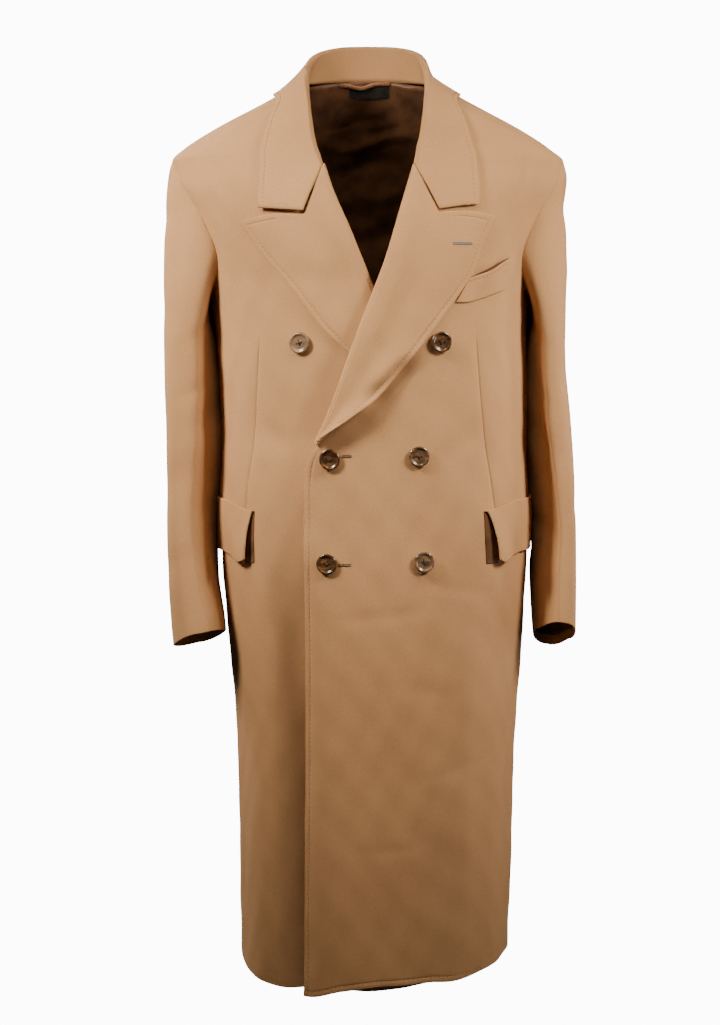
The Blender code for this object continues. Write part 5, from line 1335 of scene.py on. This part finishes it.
# ---- Materials
class Nodes:
    """Short calls for building a material's node tree."""

    def __init__(self, name):
        self.material = bpy.data.materials.new(name)
        self.material.use_nodes = True
        self.tree = self.material.node_tree
        self.shader = self.tree.nodes["Principled BSDF"]

    def fill(self, node, inputs):
        """Sets a node's inputs, by name or number; the values of other nodes are linked."""
        for name, value in inputs.items():
            if isinstance(value, bpy.types.NodeSocket):
                self.tree.links.new(value, node.inputs[name])
            else:
                node.inputs[name].default_value = value

    def node(self, kind, inputs={}, out=0, **own):
        node = self.tree.nodes.new("ShaderNode" + kind)
        for name, value in own.items():
            setattr(node, name, value)
        self.fill(node, inputs)
        return node.outputs[out]

    def place(self):
        return self.node("TexCoord", out="Object")

    def lengths(self, scale, turn=0.0):
        return self.mapping(self.node("UVMap"), Scale=scale, Rotation=(0, 0, turn))

    def mapping(self, vector, **inputs):
        return self.node("Mapping", {"Vector": vector, **inputs})

    def noise(self, vector, scale, detail=2.0, roughness=0.5):
        return self.node("TexNoise", {"Vector": vector, "Scale": scale, "Detail": detail,
                                      "Roughness": roughness})

    def ramp(self, value, *stops):
        """A colour ramp; stops are pairs of a place and a colour, or a grey level."""
        out = self.node("ValToRGB", {0: value})
        ramp = out.node.color_ramp
        while len(ramp.elements) < len(stops):
            ramp.elements.new(0.5)
        for element, (place, colour) in zip(ramp.elements, stops):
            element.position = place
            element.color = (*np.broadcast_to(colour, 3), 1.0)
        return out

    def times(self, share, a, b):
        return self.node("Mix", {0: share, 6: a, 7: b}, 2, data_type="RGBA", blend_type="MULTIPLY")

    def math(self, operation, a, b):
        return self.node("Math", {0: a, 1: b}, operation=operation)

    def total(self, *terms):
        first, *rest = (self.math("MULTIPLY", value, weight) for value, weight in terms)
        for term in rest:
            first = self.math("ADD", first, term)
        return first

    def finish(self, bump, distance, strength, **inputs):
        """Sets the shader, with a bump of this height unless it is None; gives the material."""
        if bump:
            self.fill(self.shader, {"Normal": self.node(
                "Bump", {"Height": bump, "Distance": distance, "Strength": strength})})
        self.fill(self.shader, {name.replace("_", " "): value for name, value in inputs.items()})
        return self.material


def wool_material():
    n = Nodes("camel_melton")
    fleck = n.noise(n.place(), 620.0, 3.0, 0.6)
    nap = n.noise(n.lengths((1500.0, 330.0, 1.0)), 1.0, 3.0, 0.6)
    twill = n.node("TexWave", {"Vector": n.lengths((1.0, 1.0, 1.0), math.radians(58)),
                               "Scale": 190.0, "Distortion": 1.6, "Detail": 2.0}, "Fac")
    colour = n.ramp(n.noise(n.place(), 9.0, 3.0), (0.30, (0.515, 0.280, 0.137)),
                    (0.70, (0.560, 0.312, 0.156)))
    for share, value, *stops in (
            (0.55, fleck, (0.35, (0.84, 0.83, 0.82)), (0.62, 1.04)),
            (0.65, nap, (0.30, (0.88, 0.87, 0.86)), (0.72, 1.06)),
            (0.45, twill, (0.0, (0.90, 0.89, 0.88)), (1.0, 1.03))):
        colour = n.times(share, colour, n.ramp(value, *stops))
    rough = n.node("MapRange", {"Value": fleck, "To Min": 0.84, "To Max": 0.96})
    return n.finish(n.total((nap, 0.6), (twill, 0.35), (fleck, 0.35)), 0.00035, 0.45,
                    Base_Color=colour, Roughness=rough, Sheen_Weight=0.05, Sheen_Roughness=0.42,
                    Sheen_Tint=(1.0, 0.72, 0.42, 1.0), Specular_IOR_Level=0.08)


def satin_material(name, deep, light, roughness):
    n = Nodes(name)
    cloud = n.noise(n.place(), 30.0, 3.0)
    floats = n.noise(n.lengths((420.0, 2600.0, 1.0)), 1.0)
    colour = n.times(0.6, n.ramp(cloud, (0.3, deep), (0.7, light)),
                     n.ramp(floats, (0.3, 0.80), (0.7, 1.10)))
    return n.finish(n.total((floats, 0.5), (cloud, 0.6)), 0.0006, 0.35, Base_Color=colour,
                    Roughness=roughness, Sheen_Weight=0.15, Sheen_Roughness=0.4,
                    Specular_IOR_Level=0.25, Anisotropic=0.35)


def thread_material(name, colour, roughness):
    n = Nodes(name)
    twist = n.noise(n.place(), 1400.0)
    dark = tuple(c * 0.62 for c in colour)
    return n.finish(twist, 0.0002, 0.5, Base_Color=n.ramp(twist, (0.35, dark), (0.65, colour)),
                    Roughness=roughness, Sheen_Weight=0.2, Sheen_Roughness=0.5)


def label_material():
    n = Nodes("black_woven_label")
    weave = n.node("TexBrick", {
        "Vector": n.lengths((900.0, 900.0, 1.0)), "Color1": (0.016, 0.015, 0.015, 1),
        "Color2": (0.009, 0.009, 0.010, 1), "Mortar": (0.003, 0.003, 0.003, 1)}, "Color")
    return n.finish(weave.node.outputs["Fac"], 0.0002, 0.4, Base_Color=weave, Roughness=0.55,
                    Sheen_Weight=0.1)


def horn_material(name, light):
    """Polished horn: clouded streaks that run across the button, from near black to honey."""
    n = Nodes(name + "_polished_horn")
    place = n.place()
    grain = n.mapping(place, Location=(light * 3.1, light * 1.7, light * 5.3),
                      Rotation=(0.0, light * 2.0, 0.4), Scale=(60.0, 60.0, 210.0))
    streaks = n.noise(grain, 1.0, 4.0, 0.6)
    # light makes the horn paler: partly its own tone, partly a painted reflection on the palest
    # button.
    deep, warm, pale = (
        tuple(dark + more * light ** power for dark, more in colour) for power, *colour in (
            (3, (0.018, 0.10), (0.008, 0.075), (0.004, 0.055)),
            (2, (0.085, 0.22), (0.036, 0.15), (0.014, 0.10)),
            (3, (0.36, 0.16), (0.155, 0.22), (0.035, 0.25))))
    colour = n.times(0.4, n.ramp(streaks, (0.30, deep), (0.55, warm), (0.78, pale)),
                     n.ramp(n.noise(place, 120.0), (0.3, 0.6), (0.7, 1.1)))
    return n.finish(streaks, 0.0002, 0.08, Base_Color=colour, Roughness=0.22,
                    Specular_IOR_Level=0.55, Coat_Weight=0.5, Coat_Roughness=0.08)


# ---- Camera, light and floor
CAMERA_PLACE = (-0.0138, -2.8, -0.325)
CAMERA_PITCH = 5.14        # degrees down
FOCAL_PIXELS = 2029.0
PHOTO_HEIGHT = 1025.0
SENSOR = 36.0
FLOOR_HEIGHT = -1.75
FLOOR_RADIUS = 2.6
FLOOR_GLOW = 9.0           # keeps the floor nearly as pale as the background
LIGHTS = (
    # name, place, target, size, power, colour, spread in degrees
    ("key", (0.02, -0.75, 1.05), (0, 0.0, -0.10), (0.4, 0.3), 6.5, (1.0, 0.87, 0.62), 180),
    ("left_box", (-1.25, -0.78, 0.62), (-0.13, -0.1, -0.35), (0.4, 0.5), 4.9, (1.0, 0.9, 0.73), 49),
    ("right_box", (1.30, -0.80, 0.48), (0.14, -0.1, -0.42), (0.4, 0.5), 3.9, (1.0, 0.9, 0.74), 51),
    ("right_side", (1.45, 0.08, -0.60), (0.2, 0.0, -0.92), (0.3, 0.7), 5.0, (1.0, 0.95, 0.88), 180),
    ("back_box", (-1.7, 1.7, 1.0), (0, 0, -0.5), (1.0, 1.2), 60, (1, 1, 1), 180),
)


def add_object(name, data, place=(0, 0, 0)):
    thing = bpy.data.objects.new(name, data)
    thing.location = place
    bpy.context.scene.collection.objects.link(thing)
    return thing


def make_camera():
    data = bpy.data.cameras.new("camera")
    data.sensor_width = SENSOR
    data.lens = SENSOR * FOCAL_PIXELS / PHOTO_HEIGHT
    camera = add_object("camera", data, CAMERA_PLACE)
    camera.rotation_euler = (math.radians(90 - CAMERA_PITCH), 0, 0)
    bpy.context.scene.camera = camera


def make_studio():
    for name, place, target, size, power, colour, spread in LIGHTS:
        data = bpy.data.lights.new(name, "AREA")
        data.shape = "RECTANGLE"
        data.size, data.size_y = size
        data.energy = power
        data.color = colour
        data.spread = math.radians(spread)
        light = add_object(name, data, place)
        light.rotation_euler = (Vector(place) - Vector(target)).to_track_quat("Z", "Y").to_euler()
    world = bpy.data.worlds.new("white_studio")
    bpy.context.scene.world = world
    world.use_nodes = True
    nodes, links = world.node_tree.nodes, world.node_tree.links
    strength = nodes.new("ShaderNodeMapRange")
    strength.inputs["To Min"].default_value = 0.028
    strength.inputs["To Max"].default_value = 12.0
    seen = nodes.new("ShaderNodeLightPath").outputs["Is Camera Ray"]
    links.new(seen, strength.inputs["Value"])
    links.new(strength.outputs[0], nodes["Background"].inputs["Strength"])
    nodes["Background"].inputs["Color"].default_value = (1.0, 1.0, 1.0, 1.0)


def make_floor():
    """A pale disc far below the coat, which fades out all round."""
    ring = [(x, y, FLOOR_HEIGHT) for x, y in circle(FLOOR_RADIUS, 96)]
    mesh = bpy.data.meshes.new("floor")
    mesh.from_pydata(ring, [], [tuple(range(len(ring)))])
    n = Nodes("pale_floor")
    level = n.mapping(n.place(), Scale=(1.0, 1.0, 0.0))
    far = n.node("VectorMath", {0: level}, "Value", operation="LENGTH")
    fade = n.node("MapRange", {"Value": far, "From Min": 0.55, "From Max": 1.35, "To Min": 1.0,
                               "To Max": 0.0}, interpolation_type="SMOOTHSTEP")
    glow = n.math("MULTIPLY", n.node("LightPath", out="Is Camera Ray"), FLOOR_GLOW)
    mesh.materials.append(n.finish(
        None, 0, 0, Base_Color=(0.12, 0.12, 0.12, 1.0), Roughness=0.8, Alpha=fade,
        Emission_Color=(1.0, 1.0, 1.0, 1.0), Emission_Strength=glow))
    add_object("floor", mesh)


# ---- The coat
make_camera()
materials = {
    "wool": wool_material(),
    "lining": satin_material("dark_satin", (0.082, 0.036, 0.018), (0.210, 0.100, 0.052), 0.34),
    "loop": satin_material("copper_satin", (0.26, 0.105, 0.055), (0.50, 0.25, 0.15), 0.30),
    "label": label_material(),
    "thread": thread_material("camel_thread", (0.25, 0.135, 0.062), 0.8),
    "thread_dark": thread_material("brown_thread", (0.030, 0.020, 0.016), 0.6),
    "thread_grey": thread_material("grey_thread", (0.34, 0.29, 0.25), 0.6),
}
front = make_front(1)
make_front(-1)
for side in SIDES:
    make_back(side)
lapels = [make_lapel(side) for side in SIDES]
collar = make_collar()
for side in SIDES:
    make_sleeve("top", side, -SLEEVE_SEAM_ANGLE, SLEEVE_SEAM_ANGLE)
    make_sleeve("under", side, SLEEVE_SEAM_ANGLE, 360 - SLEEVE_SEAM_ANGLE)
    make_sleeve_lining(side)
make_back_lining()
make_neck_label()
make_hanger_loop()
for side in SIDES:
    make_hip_flap(side)
    make_flap_lining_and_shadow(side)
make_pocket_mouth_shade()
welt = make_chest_welt()
make_buttons()
make_buttonhole("buttonhole_middle", -0.0370, -0.0250, -0.4890, 0.0002, "thread")
make_buttonhole("buttonhole_bottom", -0.0420, -0.0260, -0.6315, 0.0002, "thread")
make_buttonhole("buttonhole_lapel", 0.1060, 0.1320, -0.2125, FOLD_HIGH + 0.0001, "thread_grey")
make_stitching(front, lapels, collar, welt)
make_studio()
make_floor()
